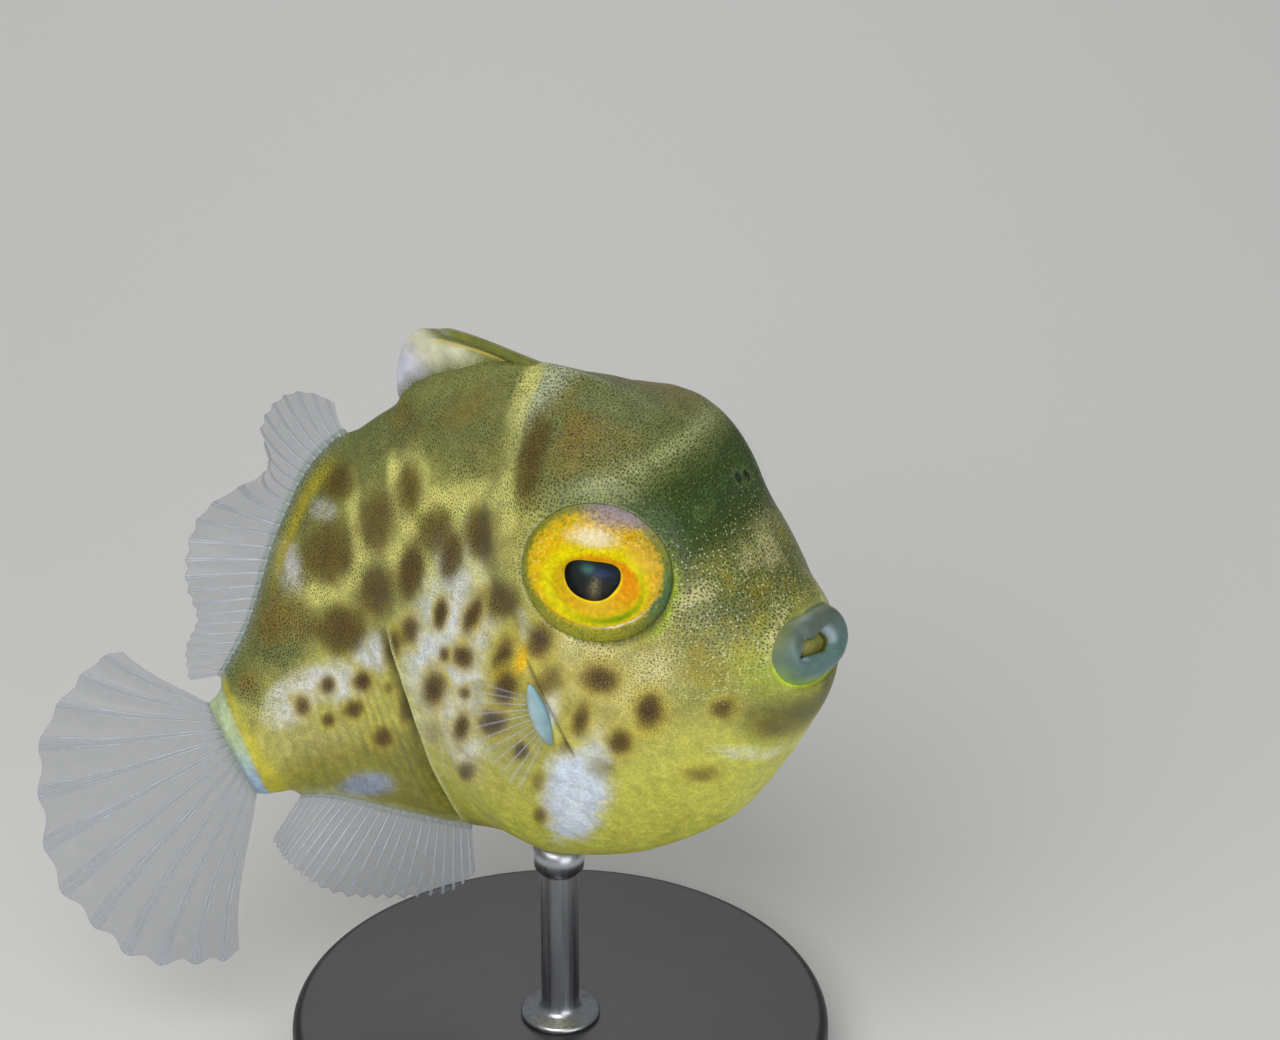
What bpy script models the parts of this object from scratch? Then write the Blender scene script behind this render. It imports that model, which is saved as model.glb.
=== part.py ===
"""A very young blacksaddle filefish, life size, on a plain display stand.

The fish is drawn in its own frame: s runs back from the lips, z up and y to its left. Its
body is a loft of closed sections, each of which stands between a point of the back and a
point of the belly. The tail is then bent to the fish's right, and the fish is pitched nose
up over the stand. Lengths in this file are millimetres, and add_solid() makes them metres.
"""

import math
from collections import namedtuple

import bmesh
import bpy
from mathutils import Matrix, Vector

MM = 0.001
GAP = 0.25

# Pose
NOSE_UP = math.radians(27.3)
BEND_START = 12.0
BEND_END = 20.0
BEND_ANGLE = math.radians(37.0)

# Stand
BASE_RADIUS = 8.5
BASE_HEIGHT = 2.0
BASE_BEVEL = 0.35
BASE_SIDES = 48
ROD_RADIUS = 0.6
ROD_SIDES = 20
TAIL_CLEARANCE = 1.2
ROD_BEHIND_LIPS = 12.6

# Body sections, from the muzzle back. The back and belly points are (s, z), half is the
# half width, widest says how far up the section it lies, and crown and keel are the powers
# of the curve above and below it: 2 is an ellipse, and less is a sharper ridge.
Section = namedtuple("Section", "name back_s back_z belly_s belly_z half widest crown keel")
SECTIONS = (
    Section("muzzle", 0.32, 1.68, 0.70, -1.50, 1.60, 0.50, 2.0, 2.0),
    Section("snout", 0.42, 2.75, 1.20, -2.30, 2.12, 0.50, 2.1, 2.0),
    Section("nostrils", 0.90, 4.95, 2.60, -3.35, 2.95, 0.56, 2.2, 2.0),
    Section("brow", 1.97, 7.70, 4.15, -4.30, 3.50, 0.60, 2.1, 2.0),
    Section("spine_root", 3.60, 9.20, 5.55, -4.95, 3.90, 0.58, 1.9, 1.9),
    Section("gill", 6.25, 10.15, 7.40, -5.35, 4.00, 0.53, 1.7, 1.9),
    Section("chest", 8.60, 10.40, 9.70, -5.45, 3.95, 0.48, 1.6, 1.9),
    Section("belly", 10.95, 10.15, 12.10, -5.05, 3.65, 0.45, 1.6, 1.9),
    Section("vent", 13.25, 9.60, 14.05, -4.05, 3.00, 0.44, 1.6, 1.7),
    Section("anal_fin", 15.30, 8.75, 15.65, -3.20, 2.45, 0.45, 1.6, 1.7),
    Section("tail_root", 17.30, 7.00, 17.40, -2.15, 1.85, 0.47, 1.7, 1.7),
    Section("stalk", 19.25, 4.75, 19.25, -0.90, 1.35, 0.50, 1.8, 1.8),
    Section("tail_end", 21.25, 3.15, 21.05, -0.35, 1.00, 0.50, 2.0, 2.0),
)
AROUND = 30
HEAD_ROWS = 18
TRUNK_ROWS = 12
STALK_ROWS = 9
HEAD_END = 5.0
TRUNK_END = 8.45

# Eyes: the orbit ring's centre, and the way the eye looks
EYE_BEHIND_LIPS = 3.58
EYE_OFF_MIDDLE = 3.45
EYE_UP = 4.57
EYE_FORWARD = math.radians(23.0)
EYE_DOWN = math.radians(5.0)
EYE_RADIUS = 2.20
EYE_HALF_DEPTH = 1.65
EYE_SUNK = 0.45
RIM_SEGMENTS = 36
# The mound round an eye, turned about the way it looks: (radius, height over the ring)
RIM_PROFILE = ((2.70, -1.15), (2.84, -0.70), (2.78, -0.28), (2.66, 0.02), (2.52, 0.15), (2.36, 0.10))

# Mouth: the lips stand on a broad flat ring, a little thinner at its corners
LIP_HALF_WIDTH = 1.00
LIP_HALF_HEIGHT = 0.78
LIP_DEPTH = 0.34
LIP_THICK = 0.40
LIP_THIN = 0.31
LIP_CENTRE_Z = -0.07
CORNER_ANGLE = math.radians(12.0)
THROAT_RADIUS = 0.62
THROAT_DEPTH = 1.3

# Nostrils: a pair of pits on each side of the forehead
NOSTRIL_RADIUS = 0.17
NOSTRIL_DEPTH = 0.45
NOSTRIL_PLACES = ((0.88, 5.17), (1.30, 5.08))

# Gill opening: a slit in the rear edge of the head, before the pectoral fin
GILL_TOP_Z = 2.3
GILL_LOW_Z = -0.7
GILL_WIDTH = 0.45
GILL_DEPTH = 0.75

# Fins
FIN_HALF = 0.25
FIN_EDGE_HALF = 0.15
RAY_RISE = 0.09
FIN_LIFT = 0.27
SCALLOP = 0.95
CAUDAL_SCALLOP = 0.965
SPINE_HALF = 0.36
SPINE_LENGTH = 5.8
SPINE_RISE = math.radians(28.5)
SPINE_ROOT_HEIGHT = 0.12
SPINE_HINGE = 3.98
SPINE_MEMBRANE_END = 6.98

# The two long fins, in rows spread evenly from front to rear: how long the rays are, how many
# degrees they lean back, and how many degrees they swing to the fish's left
FinRow = namedtuple("FinRow", "height lean swing")
DORSAL_RAYS = 25
DORSAL_START = 8.2
DORSAL_END = 11.75
DORSAL_SHAPE = (
    FinRow(1.0, 0.0, 34.0),
    FinRow(2.4, 8.0, 36.0),
    FinRow(2.8, 11.0, 44.0),
    FinRow(2.45, 13.0, 60.0),
    FinRow(2.6, 16.0, 16.0),
    FinRow(2.4, 20.0, -2.0),
    FinRow(1.7, 26.0, 4.0),
    FinRow(1.6, 34.0, 10.0),
    FinRow(0.95, 42.0, 4.0),
)
ANAL_RAYS = 22
ANAL_START = 8.75
ANAL_END = 11.45
ANAL_SHAPE = (
    FinRow(1.6, -8.0, 0.0),
    FinRow(3.2, 2.0, 18.0),
    FinRow(3.3, 12.0, 8.0),
    FinRow(3.1, 22.0, -14.0),
    FinRow(2.5, 32.0, -16.0),
    FinRow(1.7, 40.0, 0.0),
)
CAUDAL_RAYS = 12
CAUDAL_LENGTH = 7.3
CAUDAL_LONGEST = 0.35
CAUDAL_TOP_ANGLE = math.radians(54.0)
CAUDAL_LOW_ANGLE = math.radians(-60.0)
CAUDAL_SAG = math.radians(9.0)
CAUDAL_ROOT_INSET = 0.18
PECTORAL_RAYS = 11
PECTORAL_LENGTH = 1.9
PECTORAL_BASE = 1.6
PECTORAL_BEHIND_LIPS = 7.52
PECTORAL_UP = 0.75
PECTORAL_SPREAD = math.radians(32.0)
PECTORAL_FAN = math.radians(96.0)
PECTORAL_LIFT = 0.47


def spline(values, u):
    """The Catmull-Rom curve through values, at u of 0 to len(values) - 1."""
    last = len(values) - 1
    i = min(max(int(math.floor(u)), 0), last - 1)
    t = u - i
    before = values[max(i - 1, 0)]
    start, end = values[i], values[i + 1]
    after = values[min(i + 2, last)]
    slope_in = (end - before) / 2 if i > 0 else end - start
    slope_out = (after - start) / 2 if i + 2 <= last else end - start
    t2, t3 = t * t, t * t * t
    return (
        (2 * t3 - 3 * t2 + 1) * start
        + (t3 - 2 * t2 + t) * slope_in
        + (3 * t2 - 2 * t3) * end
        + (t3 - t2) * slope_out
    )


def section_at(u):
    """The section at u, where whole numbers are the named sections."""
    numbers = [spline([row[k] for row in SECTIONS], u) for k in range(1, 9)]
    return Section("between", *numbers)


def body_point(u, angle):
    """A point (s, y, z) of the section at u; angle 0 is the back and pi the belly."""
    row = section_at(u)
    up = math.cos(angle)
    side = math.sin(angle)
    power = 2 / (row.crown if up >= 0 else row.keel)
    centre_s = row.belly_s + row.widest * (row.back_s - row.belly_s)
    centre_z = row.belly_z + row.widest * (row.back_z - row.belly_z)
    end_s, end_z = (row.back_s, row.back_z) if up >= 0 else (row.belly_s, row.belly_z)
    along = abs(up) ** power
    across = math.copysign(abs(side) ** power, side)
    s = centre_s + (end_s - centre_s) * along
    z = centre_z + (end_z - centre_z) * along
    return Vector((s, row.half * across, z))


def bent(point):
    """Fish frame (s, y, z) to x forward, y left, z up, with the tail bent to the right."""
    s, y, z = point
    radius = (BEND_END - BEND_START) / BEND_ANGLE
    turn = min(max((s - BEND_START) / radius, 0.0), BEND_ANGLE)
    straight = s - BEND_START if s < BEND_START else max(s - BEND_END, 0.0)
    x = -BEND_START - radius * math.sin(turn) - straight * math.cos(turn)
    sideways = -radius * (1 - math.cos(turn)) - straight * math.sin(turn)
    return Vector((x - y * math.sin(turn), sideways + y * math.cos(turn), z))


def back_at(u):
    """The back's point (s, z), its unit tangent backwards and its unit normal outwards."""
    return edge_at(u, "back_s", "back_z", 1)


def belly_at(u):
    return edge_at(u, "belly_s", "belly_z", -1)


def edge_at(u, s_name, z_name, side):
    def point_at(number):
        row = section_at(number)
        return Vector((getattr(row, s_name), getattr(row, z_name)))

    step = 0.02
    tangent = (point_at(u + step) - point_at(u - step)).normalized()
    return point_at(u), tangent, Vector((-tangent.y, tangent.x)) * side


def add_solid(name, points, faces, material, parent):
    """A closed mesh object from points in millimetres."""
    mesh = bpy.data.meshes.new(name)
    mesh.from_pydata([Vector(p) * MM for p in points], [], faces)
    work = bmesh.new()
    work.from_mesh(mesh)
    bmesh.ops.recalc_face_normals(work, faces=work.faces)
    work.to_mesh(mesh)
    work.free()
    mesh.materials.append(material)
    mesh.shade_smooth()
    made = bpy.data.objects.new(name, mesh)
    bpy.context.scene.collection.objects.link(made)
    made.parent = parent
    return made


def loft(rings):
    """Points and faces of a closed loft through rings of equal length, with fan caps."""
    around = len(rings[0])
    points = [p for ring in rings for p in ring]
    faces = []
    for row in range(len(rings) - 1):
        for k in range(around):
            a = row * around + k
            b = row * around + (k + 1) % around
            faces += [(a, b, b + around), (a, b + around, a + around)]
    for start in (0, (len(rings) - 1) * around):
        centre = sum((Vector(points[start + k]) for k in range(around)), Vector()) / around
        points.append(centre)
        faces += [(start + k, start + (k + 1) % around, len(points) - 1) for k in range(around)]
    return points, faces


def body_solid(name, start, end, rows, material, parent):
    """The body between two section numbers."""
    rings = []
    for row in range(rows + 1):
        u = start + (end - start) * row / rows
        rings.append([bent(body_point(u, math.tau * k / AROUND)) for k in range(AROUND)])
    points, faces = loft(rings)
    return add_solid(name, points, faces, material, parent)


def sheet(columns, rows, middle, half):
    """Points and faces of a thin closed sheet.

    middle(i, j) gives the bent middle point of column i and row j, and half(i, j) half the
    thickness there. Both faces are split along the same diagonals.
    """
    grid = [[middle(i, j) for j in range(rows)] for i in range(columns)]
    points = []
    for side in (1, -1):
        for i in range(columns):
            for j in range(rows):
                along = grid[min(i + 1, columns - 1)][j] - grid[max(i - 1, 0)][j]
                out = grid[i][min(j + 1, rows - 1)] - grid[i][max(j - 1, 0)]
                normal = along.cross(out).normalized()
                points.append(grid[i][j] + normal * side * half(i, j))
    faces = []
    back = columns * rows
    for i in range(columns - 1):
        for j in range(rows - 1):
            a = i * rows + j
            b, c, d = a + rows, a + rows + 1, a + 1
            faces += [(a, b, c), (a, c, d)]
            faces += [(a + back, c + back, b + back), (a + back, d + back, c + back)]
    border = [(i, 0) for i in range(columns)]
    border += [(columns - 1, j) for j in range(1, rows)]
    border += [(i, rows - 1) for i in range(columns - 2, -1, -1)]
    border += [(0, j) for j in range(rows - 2, 0, -1)]
    for k, (i, j) in enumerate(border):
        m, n = border[(k + 1) % len(border)]
        a, b = i * rows + j, m * rows + n
        faces += [(a, b, b + back), (a, b + back, a + back)]
    return points, faces


def is_ray(column):
    return column % 2 == 1


def fin_half(rows):
    """Half thickness of a rayed fin: thin at its edge, and raised along each ray."""

    def half(i, j):
        share = j / (rows - 1)
        membrane = FIN_HALF + (FIN_EDGE_HALF - FIN_HALF) * share
        return membrane + RAY_RISE * is_ray(i) * (1 - 0.5 * share)

    return half


def median_fin(name, edge, span, rays, shape, material, parent):
    """A long fin on the back or belly, between two section numbers."""
    columns, rows = 2 * rays + 1, 6
    start, end = span

    def middle(i, j):
        share = i / (columns - 1)
        height, lean, swing = (
            spline([row[k] for row in shape], share * (len(shape) - 1)) for k in range(3)
        )
        point, tangent, normal = edge(start + (end - start) * share)
        lean = math.radians(lean)
        ray = normal * math.cos(lean) + tangent * math.sin(lean)
        out = j / (rows - 1)
        reach = height * (1.0 if is_ray(i) else SCALLOP) * out
        turn = math.radians(swing) * out**0.5
        place = point + normal * FIN_LIFT + ray * reach * math.cos(turn)
        return bent((place.x, reach * math.sin(turn), place.y))

    points, faces = sheet(columns, rows, middle, fin_half(rows))
    return add_solid(name, points, faces, material, parent)


def dorsal_fin(material, parent):
    span = (DORSAL_START, DORSAL_END)
    return median_fin("dorsal_fin", back_at, span, DORSAL_RAYS, DORSAL_SHAPE, material, parent)


def anal_fin(material, parent):
    span = (ANAL_START, ANAL_END)
    return median_fin("anal_fin", belly_at, span, ANAL_RAYS, ANAL_SHAPE, material, parent)


def caudal_fin(material, parent):
    """The tail fin: twelve rays fanned from the end of the stalk, its upper lobe half shut."""
    columns, rows = 2 * CAUDAL_RAYS + 1, 9
    end = SECTIONS[-1]

    def length(share):
        below = max(CAUDAL_LONGEST - share, 0.0) / CAUDAL_LONGEST
        above = max(share - CAUDAL_LONGEST, 0.0) / (1 - CAUDAL_LONGEST)
        return CAUDAL_LENGTH * (1 - 0.26 * below**2 - 0.55 * above**1.6)

    def middle(i, j):
        share = i / (columns - 1)
        angle = CAUDAL_LOW_ANGLE + (CAUDAL_TOP_ANGLE - CAUDAL_LOW_ANGLE) * share
        angle -= CAUDAL_SAG * math.sin(math.pi * min(share / 0.75, 1.0))
        root_height = end.back_z - end.belly_z - 2 * CAUDAL_ROOT_INSET
        root_z = end.belly_z + CAUDAL_ROOT_INSET + root_height * share
        root_s = end.belly_s + (end.back_s - end.belly_s) * share + FIN_LIFT
        out = j / (rows - 1)
        reach = length(share) * (1.0 if is_ray(i) else CAUDAL_SCALLOP) * out
        swing = 0.35 * out**1.4 * math.sin(math.tau * 1.3 * share + 0.4)
        return bent((root_s + reach * math.cos(angle), swing, root_z + reach * math.sin(angle)))

    points, faces = sheet(columns, rows, middle, fin_half(rows))
    return add_solid("caudal_fin", points, faces, material, parent)


def spine_fin(material, parent):
    """The first dorsal spine, half raised, with the membrane that ties it to the back."""
    columns, rows = 15, 6
    tip_column = 11

    def foot(i):
        share = i / (columns - 1)
        point, _, normal = back_at(SPINE_HINGE + (SPINE_MEMBRANE_END - SPINE_HINGE) * share)
        return point + normal * FIN_LIFT

    root = foot(0) + Vector((0.0, SPINE_ROOT_HEIGHT))
    tip = root + Vector((math.cos(SPINE_RISE), math.sin(SPINE_RISE))) * SPINE_LENGTH
    corner = foot(columns - 1) + Vector((0.05, SPINE_ROOT_HEIGHT))

    def top_edge(i):
        if i <= tip_column:
            return root.lerp(tip, i / tip_column)
        share = (i - tip_column) / (columns - 1 - tip_column)
        return tip.lerp(corner, share) + Vector((0.5, 0.3)) * math.sin(math.pi * share)

    def middle(i, j):
        place = foot(i).lerp(top_edge(i), j / (rows - 1))
        return bent((place.x, 0.0, place.y))

    def half(i, j):
        if i <= tip_column and j == rows - 1:
            return SPINE_HALF * (1 - 0.45 * i / tip_column)
        return FIN_HALF - 0.05 * j / rows

    points, faces = sheet(columns, rows, middle, half)
    return add_solid("dorsal_spine", points, faces, material, parent)


def flank_at(s, z):
    """The half width of the flank at (s, z) and its section number, found by halving."""
    low, high = 0.0, len(SECTIONS) - 1.0
    for _ in range(40):
        u = (low + high) / 2
        row = section_at(u)
        level = (z - row.belly_z) / (row.back_z - row.belly_z)
        if row.belly_s + level * (row.back_s - row.belly_s) < s:
            low = u
        else:
            high = u
    level = (z - row.belly_z) / (row.back_z - row.belly_z)
    above = level >= row.widest
    reach = (level - row.widest) / ((1 if above else 0) - row.widest)
    power = row.crown if above else row.keel
    return row.half * max(1 - abs(reach) ** power, 0) ** (1 / power), u


def pectoral_fin(name, side, material, parent):
    """A round fan on a short fleshy base, standing a little off the flank."""
    columns, rows = 2 * PECTORAL_RAYS + 1, 6

    def middle(i, j):
        share = i / (columns - 1)
        angle = PECTORAL_FAN * (share - 0.5)
        root_z = PECTORAL_UP + PECTORAL_BASE * (share - 0.5)
        root_s = PECTORAL_BEHIND_LIPS - 0.25 * (share - 0.5)
        width, _ = flank_at(root_s, root_z)
        out = j / (rows - 1)
        length = PECTORAL_LENGTH * (0.8 + 0.2 * math.sin(math.pi * share))
        reach = length * (1.0 if is_ray(i) else SCALLOP) * out
        off = width + PECTORAL_LIFT + reach * math.sin(PECTORAL_SPREAD)
        back = reach * math.cos(angle) * math.cos(PECTORAL_SPREAD)
        return bent((root_s + back, side * off, root_z + reach * math.sin(angle)))

    points, faces = sheet(columns, rows, middle, fin_half(rows))
    return add_solid(name, points, faces, material, parent)


def eye_frame(side):
    """The orbit ring's centre and the way that eye looks, in the bent frame."""
    flat = math.cos(EYE_DOWN)
    look = Vector((flat * math.sin(EYE_FORWARD), side * flat * math.cos(EYE_FORWARD), -math.sin(EYE_DOWN)))
    centre = bent((EYE_BEHIND_LIPS, side * EYE_OFF_MIDDLE, EYE_UP))
    return centre, look


def turned_to(look):
    return Vector((0, 0, 1)).rotation_difference(look).to_matrix().to_4x4()


def ball(name, centre, look, radius, half_depth, segments, material, parent):
    """A flattened ball whose short axis lies along look."""
    work = bmesh.new()
    bmesh.ops.create_uvsphere(work, u_segments=segments, v_segments=segments // 2, radius=1.0)
    shape = Matrix.Translation(centre) @ turned_to(look) @ Matrix.Diagonal((radius, radius, half_depth, 1))
    bmesh.ops.transform(work, matrix=shape, verts=work.verts)
    bmesh.ops.triangulate(work, faces=work.faces)
    points = [v.co.copy() for v in work.verts]
    faces = [[v.index for v in face.verts] for face in work.faces]
    work.free()
    return add_solid(name, points, faces, material, parent)


def rim(name, side, material, parent):
    """The mound of skin that an eye stands in, raised in a rim round it."""
    centre, look = eye_frame(side)
    turn = turned_to(look)
    rings = []
    for radius, height in RIM_PROFILE:
        ring = []
        for k in range(RIM_SEGMENTS):
            angle = math.tau * k / RIM_SEGMENTS
            local = Vector((radius * math.cos(angle), radius * math.sin(angle), height, 1))
            ring.append(centre + (turn @ local).to_3d())
        rings.append(ring)
    points, faces = loft(rings)
    return add_solid(name, points, faces, material, parent)


def lip(name, upward, material, parent):
    """One lip: a tapered tube along its half of the mouth's ring."""
    steps, sides = 18, 10
    start = CORNER_ANGLE if upward else math.pi + CORNER_ANGLE
    front = SECTIONS[0]
    slope = (front.back_s - front.belly_s) / (front.back_z - front.belly_z)
    centre_s = front.belly_s + slope * (LIP_CENTRE_Z - front.belly_z) - GAP - LIP_DEPTH
    rings = []
    for k in range(steps + 1):
        angle = start + (math.pi - 2 * CORNER_ANGLE) * k / steps
        thick = LIP_THIN + (LIP_THICK - LIP_THIN) * abs(math.sin(angle))
        depth = LIP_DEPTH * (0.8 + 0.2 * abs(math.sin(angle)))
        out = Vector((math.cos(angle), math.sin(angle)))
        ring = []
        for m in range(sides):
            roll = math.tau * m / sides
            y = out.x * (LIP_HALF_WIDTH + thick * math.cos(roll))
            z = out.y * (LIP_HALF_HEIGHT + thick * math.cos(roll))
            s = centre_s + depth * math.sin(roll) + z * slope
            ring.append(bent((s, y, z + LIP_CENTRE_Z)))
        rings.append(ring)
    points, faces = loft(rings)
    return add_solid(name, points, faces, material, parent)


def change(target, operation, helpers):
    """Joins the helpers to the target or cuts them from it, and removes them."""
    for helper in helpers:
        modifier = target.modifiers.new(helper.name, "BOOLEAN")
        modifier.operation = operation
        modifier.solver = "EXACT"
        modifier.object = helper
    bpy.context.view_layer.update()
    made = bpy.data.meshes.new_from_object(target.evaluated_get(bpy.context.evaluated_depsgraph_get()))
    target.modifiers.clear()
    target.data = made
    for helper in helpers:
        bpy.data.objects.remove(helper)


def tube(name, start, direction, radius, length, sides, material, parent):
    """A plain cylinder, used to cut pits."""
    turn = turned_to(direction.normalized())
    rings = []
    for end in (0.0, length):
        ring = []
        for k in range(sides):
            angle = math.tau * k / sides
            local = Vector((radius * math.cos(angle), radius * math.sin(angle), end, 1))
            ring.append(start + (turn @ local).to_3d())
        rings.append(ring)
    points, faces = loft(rings)
    return add_solid(name, points, faces, material, parent)


def face_front(z, y):
    """The s of the face's skin at height z and distance y from the middle."""
    low, high = 0.0, 4.0
    for _ in range(40):
        s = (low + high) / 2
        width, _ = flank_at(s, z)
        if width < abs(y):
            low = s
        else:
            high = s
    return s


def socket(side, material, parent):
    centre, look = eye_frame(side)
    inside = centre - look * EYE_SUNK
    room, depth = EYE_RADIUS + GAP, EYE_HALF_DEPTH + GAP
    return ball(f"socket_{side}", inside, look, room, depth, 28, material, parent)


def nostril(side, off, z, material, parent):
    ahead = 0.4
    start = bent((face_front(z, off) - ahead, side * off, z))
    length = ahead + NOSTRIL_DEPTH
    inwards = Vector((-1, 0, 0))
    name = f"nostril_{side}_{off}"
    return tube(name, start, inwards, NOSTRIL_RADIUS, length, 10, material, parent)


def throat(material, parent):
    centre = bent((SECTIONS[0].back_s, 0.0, LIP_CENTRE_Z))
    forward = Vector((1, 0, 0))
    return ball("throat", centre, forward, THROAT_RADIUS, THROAT_DEPTH, 16, material, parent)


def head(material, parent):
    """The head with its eye mounds, sockets, nostrils, gill slits and throat."""
    made = body_solid("head", 0.0, HEAD_END, HEAD_ROWS, material, parent)
    change(made, "UNION", [rim(f"rim_{side}", side, material, parent) for side in (1, -1)])
    cutters = [throat(material, parent)]
    for side in (1, -1):
        cutters.append(socket(side, material, parent))
        cutters += [nostril(side, off, z, material, parent) for off, z in NOSTRIL_PLACES]
        cutters.append(gill_slit(side, material, parent))
    change(made, "DIFFERENCE", cutters)
    return made


def gill_slit(side, material, parent):
    """A thin wedge along the rear edge of the head, cut from the flank inwards."""
    row = section_at(HEAD_END)
    past = 0.6
    rings = []
    steps = 8
    for k in range(steps + 1):
        z = GILL_LOW_Z + (GILL_TOP_Z - GILL_LOW_Z) * k / steps
        level = (z - row.belly_z) / (row.back_z - row.belly_z)
        edge_s = row.belly_s + level * (row.back_s - row.belly_s)
        width, _ = flank_at(edge_s - 0.01, z)
        open_by = GILL_WIDTH * math.sin(math.pi * (0.08 + 0.84 * k / steps))
        corners = (
            (edge_s - open_by, width + past),
            (edge_s + past, width + past),
            (edge_s + past, width - GILL_DEPTH),
            (edge_s - 0.1 * open_by, width - GILL_DEPTH),
        )
        rings.append([bent((s, side * y, z)) for s, y in corners])
    points, faces = loft(rings)
    return add_solid(f"gill_slit_{side}", points, faces, material, parent)


def stand(material_base, material_rod, rod_top, slope):
    """A round base and the rod up to the belly, cut to the belly's slope."""
    work = bmesh.new()
    bmesh.ops.create_cone(
        work,
        cap_ends=True,
        segments=BASE_SIDES,
        radius1=BASE_RADIUS,
        radius2=BASE_RADIUS,
        depth=BASE_HEIGHT,
        matrix=Matrix.Translation((0, 0, BASE_HEIGHT / 2)),
    )
    top_edges = [e for e in work.edges if all(v.co.z > BASE_HEIGHT * 0.9 for v in e.verts)]
    bmesh.ops.bevel(work, geom=top_edges, offset=BASE_BEVEL, segments=3, profile=0.5, affect="EDGES")
    points = [v.co.copy() for v in work.verts]
    faces = [[v.index for v in face.verts] for face in work.faces]
    work.free()
    add_solid("stand_base", points, faces, material_base, None)
    foot, top = [], []
    for k in range(ROD_SIDES):
        angle = math.tau * k / ROD_SIDES
        x, y = ROD_RADIUS * math.cos(angle), ROD_RADIUS * math.sin(angle)
        foot.append(Vector((x, y, BASE_HEIGHT + GAP)))
        top.append(Vector((x, y, rod_top + slope * x)))
    points, faces = loft([foot, top])
    add_solid("stand_rod", points, faces, material_rod, None)


def material(name, colour, roughness, metallic=0.0, alpha=1.0):
    made = bpy.data.materials.new(name)
    made.use_nodes = True
    shader = made.node_tree.nodes["Principled BSDF"]
    shader.inputs["Base Color"].default_value = (*colour, 1.0)
    shader.inputs["Roughness"].default_value = roughness
    shader.inputs["Metallic"].default_value = metallic
    shader.inputs["Alpha"].default_value = alpha
    made.diffuse_color = (*colour, 1.0)
    return made


def pitched(point):
    """A bent point turned nose up about the lips."""
    x, y, z = point
    return Vector(
        (x * math.cos(NOSE_UP) - z * math.sin(NOSE_UP), y, x * math.sin(NOSE_UP) + z * math.cos(NOSE_UP))
    )


def lowest(made):
    return min(pitched(v.co / MM).z for v in made.data.vertices)


def main():
    for old in list(bpy.data.objects):
        bpy.data.objects.remove(old)
    skin = material("skin", (0.42, 0.45, 0.10), 0.45)
    fin = material("fin", (0.45, 0.52, 0.30), 0.4)
    lips = material("lips", (0.22, 0.32, 0.32), 0.35)
    eye = material("eye", (0.70, 0.50, 0.06), 0.08)
    base_finish = material("stand_base", (0.035, 0.035, 0.04), 0.4)
    rod_finish = material("stand_rod", (0.55, 0.56, 0.58), 0.3, metallic=1.0)

    fish = bpy.data.objects.new("fish", None)
    bpy.context.scene.collection.objects.link(fish)
    head(skin, fish)
    section_gap = GAP / 2.0
    body_solid("trunk", HEAD_END + section_gap, TRUNK_END, TRUNK_ROWS, skin, fish)
    body_solid("tail_stalk", TRUNK_END + section_gap * 1.1, len(SECTIONS) - 1.0, STALK_ROWS, skin, fish)
    lip("upper_lip", True, lips, fish)
    lip("lower_lip", False, lips, fish)
    for name, side in (("eye_left", 1), ("eye_right", -1)):
        centre, look = eye_frame(side)
        ball(name, centre - look * EYE_SUNK, look, EYE_RADIUS, EYE_HALF_DEPTH, 24, eye, fish)
    spine_fin(fin, fish)
    dorsal_fin(fin, fish)
    anal_fin(fin, fish)
    tail = caudal_fin(fin, fish)
    pectoral_fin("pectoral_fin_left", 1, fin, fish)
    pectoral_fin("pectoral_fin_right", -1, fin, fish)

    height = BASE_HEIGHT + TAIL_CLEARANCE - lowest(tail)
    row_u = rod_section()
    row = section_at(row_u)
    foot = pitched(bent((row.belly_s, 0.0, row.belly_z)))
    ahead = section_at(row_u - 0.1)
    before = pitched(bent((ahead.belly_s, 0.0, ahead.belly_z)))
    slope = (before.z - foot.z) / (before.x - foot.x)
    fish.rotation_euler = (0.0, -NOSE_UP, 0.0)
    fish.location = Vector((-foot.x, 0.0, height)) * MM
    stand(base_finish, rod_finish, height + foot.z - GAP / math.cos(math.atan(slope)), slope)


def rod_section():
    """The section number whose belly point is ROD_BEHIND_LIPS behind the lips."""
    low, high = 0.0, len(SECTIONS) - 1.0
    for _ in range(40):
        u = (low + high) / 2
        if section_at(u).belly_s < ROD_BEHIND_LIPS:
            low = u
        else:
            high = u
    return u


main()
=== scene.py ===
"""The looks of the young filefish: one painted skin, lips, eyes, fins, and its stand.

Shapes are worked out in millimetres in the fish's own straight frame, where s runs back from
the lips, y to the fish's left and z up. The tail is then bent, the fish is pitched nose up,
and the points become metres in the row frame.
"""

import math

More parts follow.
